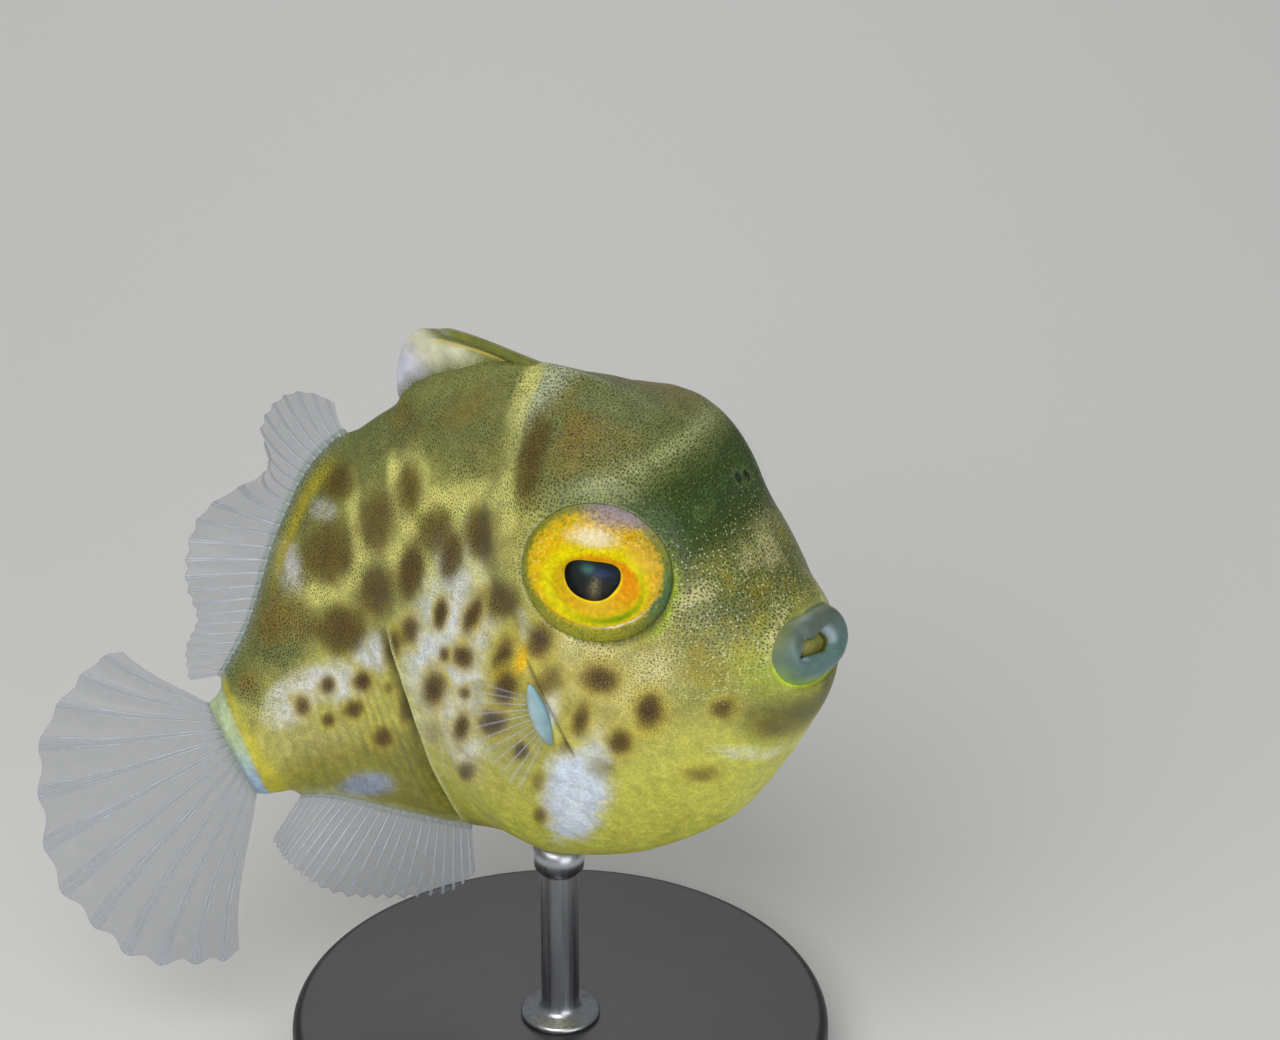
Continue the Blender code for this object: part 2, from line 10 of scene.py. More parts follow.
import bpy
import numpy as np
from mathutils import Matrix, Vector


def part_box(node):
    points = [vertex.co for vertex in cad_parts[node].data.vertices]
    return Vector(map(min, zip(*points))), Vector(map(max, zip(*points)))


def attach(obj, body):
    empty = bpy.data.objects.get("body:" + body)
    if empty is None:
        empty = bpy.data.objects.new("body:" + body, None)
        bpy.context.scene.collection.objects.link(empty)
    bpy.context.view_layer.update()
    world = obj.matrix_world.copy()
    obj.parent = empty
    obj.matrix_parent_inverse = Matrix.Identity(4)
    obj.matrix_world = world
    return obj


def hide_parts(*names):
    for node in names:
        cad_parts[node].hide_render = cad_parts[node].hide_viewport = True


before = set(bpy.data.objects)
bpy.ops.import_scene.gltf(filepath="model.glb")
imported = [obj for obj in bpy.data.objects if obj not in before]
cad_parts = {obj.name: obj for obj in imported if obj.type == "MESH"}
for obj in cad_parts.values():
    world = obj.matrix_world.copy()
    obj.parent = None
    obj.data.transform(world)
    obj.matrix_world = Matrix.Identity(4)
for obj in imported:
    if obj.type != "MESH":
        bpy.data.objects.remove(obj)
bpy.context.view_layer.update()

MM = 0.001

# Pose, as in the solids
NOSE_UP = math.radians(27.3)
BEND_START = 12.0
BEND_END = 20.0
BEND_ANGLE = math.radians(37.0)

# Body sections, as in the solids: back s, back z, belly s, belly z, half width, how far up the
# widest point lies, and the powers of the curve above and below it
SECTIONS = np.array(
    (
        (0.32, 1.68, 0.70, -1.50, 1.60, 0.50, 2.0, 2.0),
        (0.42, 2.75, 1.20, -2.30, 2.12, 0.50, 2.1, 2.0),
        (0.90, 4.95, 2.60, -3.35, 2.95, 0.56, 2.2, 2.0),
        (1.97, 7.70, 4.15, -4.30, 3.50, 0.60, 2.1, 2.0),
        (3.60, 9.20, 5.55, -4.95, 3.90, 0.58, 1.9, 1.9),
        (6.25, 10.15, 7.40, -5.35, 4.00, 0.53, 1.7, 1.9),
        (8.60, 10.40, 9.70, -5.45, 3.95, 0.48, 1.6, 1.9),
        (10.95, 10.15, 12.10, -5.05, 3.65, 0.45, 1.6, 1.9),
        (13.25, 9.60, 14.05, -4.05, 3.00, 0.44, 1.6, 1.7),
        (15.30, 8.75, 15.65, -3.20, 2.45, 0.45, 1.6, 1.7),
        (17.30, 7.00, 17.40, -2.15, 1.85, 0.47, 1.7, 1.7),
        (19.25, 4.75, 19.25, -0.90, 1.35, 0.50, 1.8, 1.8),
        (21.25, 3.15, 21.05, -0.35, 1.00, 0.50, 2.0, 2.0),
    )
)
LAST = len(SECTIONS) - 1

# Eyes
EYE_PLACE = (3.58, 3.45, 4.57)
EYE_FORWARD = math.radians(23.0)
EYE_DOWN = math.radians(5.0)
EYE_SUNK = 0.45

# Mouth: the crooked opening round the lips' ring, as degrees from the fish's left, y and z
LIP_OPENING = np.array(
    (
        (0, 0.17, 0.08), (30, -0.04, 0.34), (70, -0.36, 0.22), (125, -0.81, 0.38),
        (178, -1.32, 0.03), (200, -1.08, 0.01), (240, -0.61, -0.12), (305, -0.09, -0.28),
        (340, 0.24, -0.11),
    )
)
LIP_OUTER = (1.74, 1.10)
LIP_DEPTH = 0.25
LIP_FRONT = -0.34
LIP_SLOPE = -0.05
MUZZLE_FORWARD = 0.50
MUZZLE_REACH = (2.8, 1.1)
MUZZLE_END = 3.0

# Nostrils: distance off the middle, and z
NOSTRILS = ((0.86, 5.20), (1.30, 5.08))
NOSTRIL_NARROW = 1.25
SNOUT_END = 3.2
FAR_OFF = 9.0

# Fins
FIN_LIFT = 0.27
SPINE_ROOT = (3.92, 9.10)
SPINE_TIP = (8.70, 12.05)
SPINE_FILM_EDGE = (
    (8.70, 12.05), (9.34, 12.15), (10.02, 11.88), (10.50, 11.44), (10.84, 10.94), (11.10, 10.42),
    (11.16, 9.86),
)
SPINE_HINGE = 3.98
SPINE_MEMBRANE_END = 6.98
DORSAL_RAYS = 25
DORSAL_SPAN = (8.2, 11.75)
DORSAL_SHAPE = np.array(
    (
        (1.0, 0.0, 34.0), (2.4, 8.0, 36.0), (2.8, 11.0, 44.0), (2.45, 13.0, 60.0),
        (2.6, 16.0, 16.0), (2.4, 20.0, -2.0), (1.7, 26.0, 4.0), (1.6, 34.0, 10.0),
        (0.95, 42.0, 4.0),
    )
)
ANAL_RAYS = 22
ANAL_SPAN = (8.75, 11.45)
ANAL_SHAPE = np.array(
    (
        (1.6, -8.0, 0.0), (3.2, 2.0, 18.0), (3.3, 12.0, 8.0), (3.1, 22.0, -14.0),
        (2.5, 32.0, -16.0), (1.7, 40.0, 0.0),
    )
)
CAUDAL_RAYS = 12
CAUDAL_LENGTH = 7.3
CAUDAL_LONGEST = 0.35
CAUDAL_TOP_ANGLE = math.radians(54.0)
CAUDAL_LOW_ANGLE = math.radians(-60.0)
CAUDAL_SAG = math.radians(9.0)
CAUDAL_ROOT_INSET = 0.18
PECTORAL_RAYS = 11
PECTORAL_LENGTH = 1.9
PECTORAL_BEHIND_LIPS = 7.52
PECTORAL_UP = 0.75
PECTORAL_SPREAD = math.radians(32.0)
PECTORAL_FAN = math.radians(96.0)

# Markings of the near flank, in the straight frame: s, z, half length, half breadth, the angle
# of the length from the fish's axis in degrees (up is positive towards the tail), strength
SADDLES = (
    (3.55, 8.15, 1.80, 1.00, 31, 0.80), (7.40, 9.05, 1.80, 0.95, 14, 0.66),
    (10.52, 9.50, 1.10, 0.62, 24, 0.80), (18.15, 4.47, 1.60, 1.05, -28, 1.00),
    (20.07, 3.11, 0.50, 0.45, -11, 0.95),
)
BLOTCHES = (
    (4.79, 8.20, 0.97, 0.50, 74, 0.75), (13.98, 8.43, 0.92, 0.49, 3, 0.80),
    (15.09, 6.53, 1.40, 0.90, -10, 0.80), (12.11, 7.20, 1.24, 0.75, -26, 0.75),
    (10.36, 7.95, 0.68, 0.58, -62, 0.75), (10.83, 5.69, 0.98, 0.58, -50, 1.00),
    (12.95, 5.29, 1.42, 0.74, -12, 0.90), (9.37, 6.72, 0.81, 0.60, -9, 0.75),
    (8.86, 5.93, 0.80, 0.40, -44, 0.90), (7.30, 6.44, 0.92, 0.76, -17, 0.90),
    (6.99, 4.59, 1.15, 0.58, -21, 0.90), (15.44, 4.23, 1.27, 0.70, -6, 0.90),
)
SPOTS = (
    (17.13, 2.63, 0.35, 0.25, -22, 0.85), (15.44, 2.55, 0.54, 0.31, -16, 1.00),
    (18.45, 2.19, 0.38, 0.29, -39, 0.80), (17.77, 1.53, 0.32, 0.23, -20, 0.80),
    (16.48, 1.69, 0.47, 0.27, -11, 0.90), (15.79, 0.57, 0.57, 0.32, -25, 0.85),
    (14.17, 2.24, 0.36, 0.18, -18, 0.50), (12.78, 3.57, 0.99, 0.32, -24, 0.90),
    (13.66, 1.54, 0.85, 0.29, -39, 0.85), (9.91, 4.39, 0.49, 0.25, -51, 1.00),
    (8.53, 4.20, 0.82, 0.29, -40, 1.00), (11.52, 4.04, 0.55, 0.34, -38, 0.85),
    (9.51, 3.00, 0.50, 0.35, -22, 1.00), (10.27, 3.14, 0.30, 0.20, -43, 0.80),
    (11.37, 2.10, 0.78, 0.42, -36, 1.00), (10.02, 1.88, 0.32, 0.21, -28, 0.75),
    (10.84, 0.79, 0.64, 0.28, -38, 1.00), (11.87, -0.81, 0.71, 0.28, -22, 0.70),
    (12.49, 0.67, 0.85, 0.30, -19, 0.25), (9.42, 0.80, 0.60, 0.40, -20, 1.00),
    (7.88, 2.80, 0.89, 0.34, -42, 0.95), (8.27, 1.86, 0.72, 0.40, -37, 1.00),
    (9.01, -0.29, 0.43, 0.25, -36, 0.90), (10.18, -2.80, 0.54, 0.22, -39, 0.65),
    (9.19, -1.50, 0.50, 0.23, -43, 0.40), (6.14, 3.14, 0.79, 0.41, -33, 0.95),
    (6.61, 1.77, 0.67, 0.42, -22, 0.60), (4.85, 1.47, 0.67, 0.50, -14, 0.95),
    (6.25, 0.33, 0.74, 0.28, -46, 0.85), (3.98, 0.05, 0.67, 0.39, -52, 1.00),
    (5.44, -0.72, 0.50, 0.33, -37, 0.90), (1.90, -0.54, 0.39, 0.32, -49, 0.80),
    (7.37, -0.49, 0.36, 0.25, -69, 0.40), (6.68, -1.48, 0.54, 0.32, -19, 0.30),
    (3.99, -2.59, 0.51, 0.36, 10, 0.45), (1.35, -1.78, 0.49, 0.32, -75, 0.25),
)
WHITES = (
    (8.35, -2.26, 2.15, 0.78, -40, 1.50), (7.23, 0.74, 0.89, 0.26, -45, 0.75),
    (2.45, -2.40, 0.66, 0.30, 46, 0.42), (10.20, 3.10, 3.10, 1.55, -52, 0.90),
    (9.10, 4.60, 1.50, 0.60, -45, 0.75), (10.90, 1.00, 1.80, 0.90, -60, 0.70),
    (6.45, 3.50, 0.60, 0.30, -60, 0.70), (14.39, 3.30, 0.95, 0.55, -14, 0.90),
    (18.60, 2.55, 1.10, 0.60, -20, 0.80), (17.31, 2.80, 1.10, 0.50, 4, 0.85),
    (16.30, 2.60, 1.10, 0.55, 0, 0.75), (17.06, 6.27, 0.66, 0.50, -64, 0.80),
    (14.90, 7.75, 0.54, 0.29, 6, 0.60),
)
VENT_PATCH = (17.75, -1.10, 0.95, 0.45, -1, 0.85)
ORANGE_PATCH = (7.25, 2.62, 0.62, 0.24, -42, 1.0)
# Grounds of the flank and face, the last row painted shade on the chin's shadow side: s, z, half length,
# half breadth, angle, strength, colour
GROUNDS_AND_CHIN_SHADE = (
    (4.60, 1.60, 2.40, 1.30, -20, 0.75, (0.84, 0.80, 0.52)),
    (2.70, 1.50, 1.30, 0.90, -10, 0.70, (0.80, 0.77, 0.50)),
    (1.60, 0.90, 0.90, 1.10, 10, 0.60, (0.63, 0.62, 0.30)),
    (1.35, 2.20, 0.90, 0.90, 0, 0.60, (0.48, 0.51, 0.28)),
    (0.60, -0.10, 0.55, 1.20, 0, 0.70, (0.66, 0.72, 0.25)),
    (0.55, 2.10, 0.60, 0.80, 0, 0.70, (0.38, 0.42, 0.20)),
    (2.70, 7.00, 1.50, 0.50, 12, 0.60, (0.58, 0.61, 0.36)),
    (6.00, 7.40, 0.80, 1.60, -10, 0.60, (0.70, 0.66, 0.34)),
    (8.00, 9.90, 2.20, 0.80, 5, 0.60, (0.56, 0.58, 0.34)),
    (5.10, 9.50, 0.55, 0.80, 60, 0.90, (0.76, 0.80, 0.66)),
    (18.60, 1.40, 1.80, 1.20, -10, 0.75, (0.68, 0.66, 0.40)),
    (15.50, -0.90, 1.60, 1.10, -20, 0.60, (0.60, 0.57, 0.26)),
    # Painted shade: the chin's shadow side, dark olive
    (0.90, -1.70, 1.10, 0.90, 60, 0.95, (0.38, 0.38, 0.18)),
)
NETWORK = (
    ((5.60, 9.90), (5.80, 9.10), (5.72, 7.90), (5.50, 6.90)),
    ((10.15, 8.90), (9.74, 8.43), (9.77, 7.62), (8.11, 7.58), (6.80, 7.56), (5.82, 7.50)),
    ((10.91, 8.74), (10.74, 7.17), (10.08, 5.25)),
    ((13.31, 8.37), (13.46, 6.17), (11.44, 6.08), (11.18, 7.20), (10.97, 8.54)),
    ((17.00, 5.35), (15.52, 5.46), (14.07, 5.62), (13.49, 6.62)),
    ((8.20, 7.30), (8.21, 6.35), (7.82, 5.30), (7.90, 3.97)),
)
ABDOMEN_FOLD = (
    ((3.80, 13.10), (2.77, 13.03), (1.78, 13.16), (0.70, 13.55))
    + ((-0.45, 14.11), (-1.70, 14.54), (-2.91, 15.05))
)
GILL_LINE = ((2.77, 7.05), (2.17, 7.10), (1.41, 7.15), (0.55, 7.21), (-0.43, 7.30), (-0.90, 7.36))

VIEW_AZIMUTH = math.radians(32.3)
VIEW_ELEVATION = math.radians(29.6)
LENS = 150.0
SENSOR = 36.0
VIEW_DISTANCE = 156.9
LIPS_PIXEL = (812.0, 643.0)
IMAGE_SIZE = (1280.0, 1040.0)


# Shape helpers
def spline(values, u):
    """The Catmull-Rom curve through the rows of values, at each u of 0 to len(values) - 1."""
    values = np.asarray(values, float)
    u = np.asarray(u, float)
    last = len(values) - 1
    i = np.clip(np.floor(u).astype(int), 0, last - 1)
    t = (u - i)[..., None]
    before, start = values[np.maximum(i - 1, 0)], values[i]
    end, after = values[i + 1], values[np.minimum(i + 2, last)]
    slope_in = np.where((i > 0)[..., None], (end - before) / 2, end - start)
    slope_out = np.where((i + 2 <= last)[..., None], (after - start) / 2, end - start)
    t2, t3 = t * t, t * t * t
    from_start = (2 * t3 - 3 * t2 + 1) * start + (t3 - 2 * t2 + t) * slope_in
    return from_start + (3 * t2 - 2 * t3) * end + (t3 - t2) * slope_out


def smooth(low, high, x):
    t = np.clip((x - low) / (high - low), 0, 1)
    return t * t * (3 - 2 * t)


def body_points(u, angle):
    """Straight-frame points of the body at section numbers u and angles, 0 at the back."""
    row = spline(SECTIONS, u)
    back_s, back_z, belly_s, belly_z, half, widest, crown, keel = np.moveaxis(row, -1, 0)
    up, side = np.cos(angle), np.sin(angle)
    above = up >= 0
    power = 2 / np.where(above, crown, keel)
    centre_s = belly_s + widest * (back_s - belly_s)
    centre_z = belly_z + widest * (back_z - belly_z)
    along = np.abs(up) ** power
    s = centre_s + (np.where(above, back_s, belly_s) - centre_s) * along
    z = centre_z + (np.where(above, back_z, belly_z) - centre_z) * along
    y = half * np.sign(side) * np.abs(side) ** power
    return np.stack([s, y, z], -1)


def flank_width(s, z):
    """Half width of the body at (s, z), by halving the section number."""
    s, z = np.broadcast_arrays(np.asarray(s, float), np.asarray(z, float))
    low, high = np.zeros(s.shape), np.full(s.shape, float(LAST))
    for _ in range(40):
        u = (low + high) / 2
        row = np.moveaxis(spline(SECTIONS, u), -1, 0)
        level = (z - row[3]) / (row[1] - row[3])
        ahead = row[2] + level * (row[0] - row[2]) < s
        low, high = np.where(ahead, u, low), np.where(ahead, high, u)
    above = level >= row[5]
    reach = (level - row[5]) / (np.where(above, 1.0, 0.0) - row[5])
    power = np.where(above, row[6], row[7])
    return row[4] * np.maximum(1 - np.abs(reach) ** power, 0) ** (1 / power)


def edge(u, side):
    """Points (s, z) of the back (side 1) or belly (side -1), with tangents and normals."""
    pick = [0, 1] if side > 0 else [2, 3]
    step = 0.02
    point = spline(SECTIONS, u)[..., pick]
    tangent = spline(SECTIONS, u + step)[..., pick] - spline(SECTIONS, u - step)[..., pick]
    tangent /= np.linalg.norm(tangent, axis=-1, keepdims=True)
    normal = np.stack([-tangent[..., 1], tangent[..., 0]], -1) * side
    return point, tangent, normal


def bent(points):
    """Straight frame to x forward, y left, z up, with the tail bent."""
    s, y, z = np.moveaxis(np.asarray(points, float), -1, 0)
    radius = (BEND_END - BEND_START) / BEND_ANGLE
    turn = np.clip((s - BEND_START) / radius, 0.0, BEND_ANGLE)
    straight = np.where(s < BEND_START, s - BEND_START, np.maximum(s - BEND_END, 0.0))
    x = -BEND_START - radius * np.sin(turn) - straight * np.cos(turn)
    sideways = -radius * (1 - np.cos(turn)) - straight * np.sin(turn)
    return np.stack([x - y * np.sin(turn), sideways + y * np.cos(turn), z], -1)


def pitched(points):
    x, y, z = np.moveaxis(np.asarray(points, float), -1, 0)
    c, s = math.cos(NOSE_UP), math.sin(NOSE_UP)
    return np.stack([x * c - z * s, y, x * s + z * c], -1)


def eye_axes(side):
    """Ring centre, forward, up and looking axes of an eye, in the straight frame."""
    flat = math.cos(EYE_DOWN)
    ahead, aside = flat * math.sin(EYE_FORWARD), flat * math.cos(EYE_FORWARD)
    look = np.array([-ahead, side * aside, -math.sin(EYE_DOWN)])
    centre = np.array([EYE_PLACE[0], side * EYE_PLACE[1], EYE_PLACE[2]])
    up = np.array([0.0, 0.0, 1.0])
    up -= look * (up @ look)
    up /= np.linalg.norm(up)
    forward = np.cross(up, look) * side
    if forward[0] > 0:
        forward = -forward
    return centre, forward, up, look


def lips_origin():
    """Where the straight frame's origin lies in the row frame, in millimetres, from an eye's node."""
    low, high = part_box("eye_right")
    middle = (np.array(low) + np.array(high)) / 2 / MM
    centre, _, _, look = eye_axes(-1)
    return middle - pitched(bent(centre - look * EYE_SUNK))


ORIGIN = lips_origin()


def placed(points):
    """Straight frame in millimetres to the row frame in metres."""
    return (pitched(bent(points)) + ORIGIN) * MM


class Lattice:
    """Smooth seeded noise of 0 to 1 on a repeating cube of random numbers."""

    SIDE = 48

    def __init__(self, seed):
        self.values = np.random.default_rng(seed).random((self.SIDE,) * 3)

    def __call__(self, points, size):
        q = points / size
        i = np.floor(q).astype(int)
        f = q - i
        f = f * f * (3 - 2 * f)
        total = np.zeros(points.shape[:-1])
        for dx in (0, 1):
            for dy in (0, 1):
                for dz in (0, 1):
                    weight = (
                        (f[..., 0] if dx else 1 - f[..., 0])
                        * (f[..., 1] if dy else 1 - f[..., 1])
                        * (f[..., 2] if dz else 1 - f[..., 2])
                    )
                    corner = (i + (dx, dy, dz)) % self.SIDE
                    total += weight * self.values[corner[..., 0], corner[..., 1], corner[..., 2]]
        return total


NOISE = [Lattice(seed) for seed in (11, 23, 37)]


def clouds(points, size, which=0):
    """Three octaves of noise, about -1 to 1."""
    lattice = NOISE[which]
    total = sum(lattice(points, size / 2**k) / 2**k for k in range(3))
    return total / 1.75 * 2 - 1


LEAST_VOLUME = 1e-12


def make_mesh(name, points, faces, material, colours=None, values=None):
    """A mesh object from row-frame points, with a colour attribute and float attributes."""
    mesh = bpy.data.meshes.new(name)
    points = np.asarray(points, np.float32).reshape(-1, 3)
    faces = np.asarray(faces, np.int32)
    mesh.vertices.add(len(points))
    mesh.vertices.foreach_set("co", points.ravel())
    width = faces.shape[1]
    # Faces look outwards: their order is turned round where the enclosed volume comes out negative
    centred = points.astype(float) - points.mean(0)
    volume = 0.0
    for k in range(1, width - 1):
        p, q, r = (centred[faces[:, j]] for j in (0, k, k + 1))
        volume += np.einsum("ij,ij->", p, np.cross(q, r)) / 6
    if volume < -LEAST_VOLUME:
        faces = np.ascontiguousarray(faces[:, ::-1])
    mesh.loops.add(faces.size)
    mesh.loops.foreach_set("vertex_index", faces.ravel())
    mesh.polygons.add(len(faces))
    mesh.polygons.foreach_set("loop_start", np.arange(0, faces.size, width, dtype=np.int32))
    mesh.update(calc_edges=True)
    mesh.validate()
    if colours is not None:
        layer = mesh.attributes.new("pigment", "FLOAT_COLOR", "POINT")
        rgba = np.ones((len(points), 4), np.float32)
        rgba[:, :3] = np.asarray(colours).reshape(-1, 3)
        layer.data.foreach_set("color", rgba.ravel())
    for key, value in (values or {}).items():
        layer = mesh.attributes.new(key, "FLOAT", "POINT")
        layer.data.foreach_set("value", np.asarray(value, np.float32).ravel())
    mesh.shade_smooth()
    mesh.materials.append(material)
    made = bpy.data.objects.new(name, mesh)
    bpy.context.scene.collection.objects.link(made)
    return made


def tube_faces(rows, around):
    """Triangles of a closed loft of rows rings, whose two end points come last."""
    i = np.arange(rows - 1)[:, None] * around
    k = np.arange(around)[None, :]
    n = (k + 1) % around
    a, b, c, d = i + k, i + n, i + around + n, i + around + k
    faces = [np.stack([a, c, b], -1).reshape(-1, 3), np.stack([a, d, c], -1).reshape(-1, 3)]
    k, n = k[0], n[0]
    base, start = (rows - 1) * around, rows * around
    faces.append(np.stack([np.full(around, start), k, n], -1))
    faces.append(np.stack([np.full(around, start + 1), base + n, base + k], -1))
    return np.concatenate(faces)


def tube(name, grid, material, colours=None, values=None, place=placed):
    """A closed loft of a grid's rings, capped at the middles of its end rings."""

    def capped(some):
        return np.concatenate([some.reshape(-1, *some.shape[2:]), some[[0, -1], 0]])

    points = np.concatenate([grid.reshape(-1, 3), [grid[0].mean(0), grid[-1].mean(0)]])
    colours = None if colours is None else capped(colours)
    values = {key: capped(value) for key, value in (values or {}).items()}
    return make_mesh(name, place(points), tube_faces(*grid.shape[:2]), material, colours, values)


def grid_normals(grid):
    """Normals of a grid of points that wraps round its second axis."""
    down = np.gradient(grid, axis=0)
    round_ = np.roll(grid, -1, axis=1) - np.roll(grid, 1, axis=1)
    normal = np.cross(down, round_)
    length = np.linalg.norm(normal, axis=-1, keepdims=True)
    return normal / np.maximum(length, 1e-9)


def srgb(*rgb):
    c = np.array(rgb, float)
    return np.where(c <= 0.04045, c / 12.92, ((c + 0.055) / 1.055) ** 2.4)


def mixed(colours, colour, mask):
    return colours + (colour - colours) * mask[..., None]


def bell(x, middle, width):
    """A soft bump of height 1 round the middle."""
    return np.exp(-(((x - middle) / width) ** 2))


class Coats:
    """Linear colours of a grid of points, painted over coat by coat."""

    def __init__(self, points, *base):
        self.seen = np.zeros(points.shape) + srgb(*base)

    def __call__(self, red, green, blue, mask):
        self.over(srgb(red, green, blue), mask)

    def over(self, colour, mask):
        self.seen = mixed(self.seen, colour, mask)

    def shade(self, factor, mask):
        self.over(self.seen * factor, mask)


# Skin

SKIN_ROWS = 420
SKIN_AROUND = 480
FRONT_ROWS = 22
THROAT_ROWS = 12
THROAT_HALF = (0.92, 0.66)
TAIL_ROWS = 8


def skin_rings():
    """Rings of the skin from the throat, over the muzzle and back to the tail's end.

    Returns the points and, for each row, its section number, below zero before the muzzle.
    """
    angle = math.tau * np.arange(SKIN_AROUND) / SKIN_AROUND
    fine = np.linspace(0, LAST, 4000)
    row = spline(SECTIONS, fine)
    steps = np.diff(row, axis=0)
    walk = np.linalg.norm(steps[:, 0:2], axis=1) + np.linalg.norm(steps[:, 2:4], axis=1)
    walk = np.concatenate([[0], np.cumsum(walk)])
    u = np.interp(np.linspace(0, walk[-1], SKIN_ROWS), walk, fine)
    body = body_points(u[:, None], angle[None, :])
    first = body[0]
    middle = np.array([(SECTIONS[0, 0] + SECTIONS[0, 2]) / 2, 0.0, (SECTIONS[0, 1] + SECTIONS[0, 3]) / 2])
    lip_middle = np.array([LIP_FRONT, 0.0, 0.0])
    front = []
    for w in np.linspace(1, 0, FRONT_ROWS, endpoint=False):
        ring = middle + (first - middle) * (1 - np.array([0.40, 0.40, 0.54]) * w)
        ring = ring + np.array([-0.30 * w**1.5, 0.0, 0.0])
        front.append(ring)
    throat = []
    across, up = np.sin(angle) * THROAT_HALF[0], np.cos(angle) * THROAT_HALF[1]
    opening = np.stack([np.zeros(SKIN_AROUND), across, up], -1)
    for w in np.linspace(1, 0, THROAT_ROWS, endpoint=False):
        inner = lip_middle + opening * (1 - 0.35 * w**1.5) + np.array([0.42 + 0.60 * w, -0.15 * w, 0.0])
        blend = smooth(0.0, 0.25, np.array(w))
        throat.append(front[0] * (1 - blend) + inner * blend)
    tail = []
    last = body[-1]
    hub = last.mean(0)
    for k in range(1, TAIL_ROWS + 1):
        w = k / TAIL_ROWS
        ring = hub + (last - hub) * np.array([1.0, math.cos(w * 1.45), 1 - 0.10 * w])
        tail.append(ring + np.array([0.32 * math.sin(w * 1.45), 0.0, 0.0]))
    forward = np.array([MUZZLE_FORWARD, 0, 0])

    def near_mouth(points):
        return smooth(*MUZZLE_REACH, np.hypot(points[..., 1], points[..., 2]))[..., None]

    muzzle = [ring - forward * near_mouth(ring) for ring in front]
    body = body - forward * (near_mouth(body) * (body[..., :1] < MUZZLE_END))
    # The first ring lies on the muzzle's front ring, so a flat wall closes the mouth there
    throat[0] = muzzle[0]
    rings = np.concatenate([np.array(throat), np.array(muzzle), body, np.array(tail)])
    before = [np.full(THROAT_ROWS, -2.0), np.linspace(-1, 0, FRONT_ROWS, endpoint=False)]
    numbers = np.concatenate(before + [u, np.full(TAIL_ROWS, float(LAST))])
    return rings, numbers


def eye_polar(points, side):
    """Distance from an eye's axis, height over its ring and clock angle (0 forward, up positive)."""
    centre, forward, up, look = eye_axes(side)
    local = points - centre
    height = local @ look
    ahead, above = local @ forward, local @ up
    return np.hypot(ahead, above), height, np.arctan2(above, ahead)


MOUND = np.array(
    (
        (0.0, -1.50), (1.60, -1.10), (2.06, -0.45), (2.16, -0.14), (2.22, 0.00), (2.27, 0.05),
        (2.34, 0.045), (2.48, -0.01), (2.70, -0.12), (2.95, -0.33), (3.30, -0.80), (3.80, -1.80),
        (4.60, -4.00),
    )
)


def raise_orbits(points):
    """Sinks a socket and raises a soft rim of skin round each eye."""
    for side in (1, -1):
        _, _, _, look = eye_axes(side)
        radius, height, _ = eye_polar(points, side)
        near = (radius < 4.6) & (height > -3.2)
        mound = np.interp(radius, MOUND[:, 0], MOUND[:, 1])
        k = 0.30
        h = np.clip(0.5 + 0.5 * (mound - height) / k, 0, 1)
        raised = height * (1 - h) + mound * h + k * h * (1 - h)
        inside = smooth(2.34, 2.22, radius)
        target = raised * (1 - inside) + np.minimum(mound, raised) * inside
        points = points + look * np.where(near, target - height, 0.0)[..., None]
    return points


def fold_line(line, z):
    pts = np.array(line)[::-1]
    return np.interp(z, pts[:, 0], pts[:, 1])


def nostril_distance(points, place):
    """Distance from a nostril's middle, across and up the snout, and far off behind the snout."""
    s, y, z = np.moveaxis(points, -1, 0)
    across = (np.abs(y) - place[0]) * NOSTRIL_NARROW
    return np.hypot(across, z - place[1]) + FAR_OFF * (s > SNOUT_END)


def lip_share(points):
    """Distance from the mouth's axis, where 1 is the lips' outer edge."""
    return np.hypot((points[..., 1] - 0.05) / LIP_OUTER[0], points[..., 2] / LIP_OUTER[1])


def stalk_folds(points):
    """Where the bent tail squeezes its near side into fine folds, and their wave of -1 to 1."""
    s, y, z = np.moveaxis(points, -1, 0)
    squeezed = smooth(0.4, -0.4, y) * smooth(13.9, 14.8, s) * smooth(20.3, 19.4, s)
    squeezed = squeezed * smooth(3.4, 1.4, z) * smooth(-1.9, -0.6, z)
    wave = s + 0.22 * z + 0.22 * clouds(points, 1.6, 2)
    return squeezed, np.sin(math.tau * wave / 0.44)


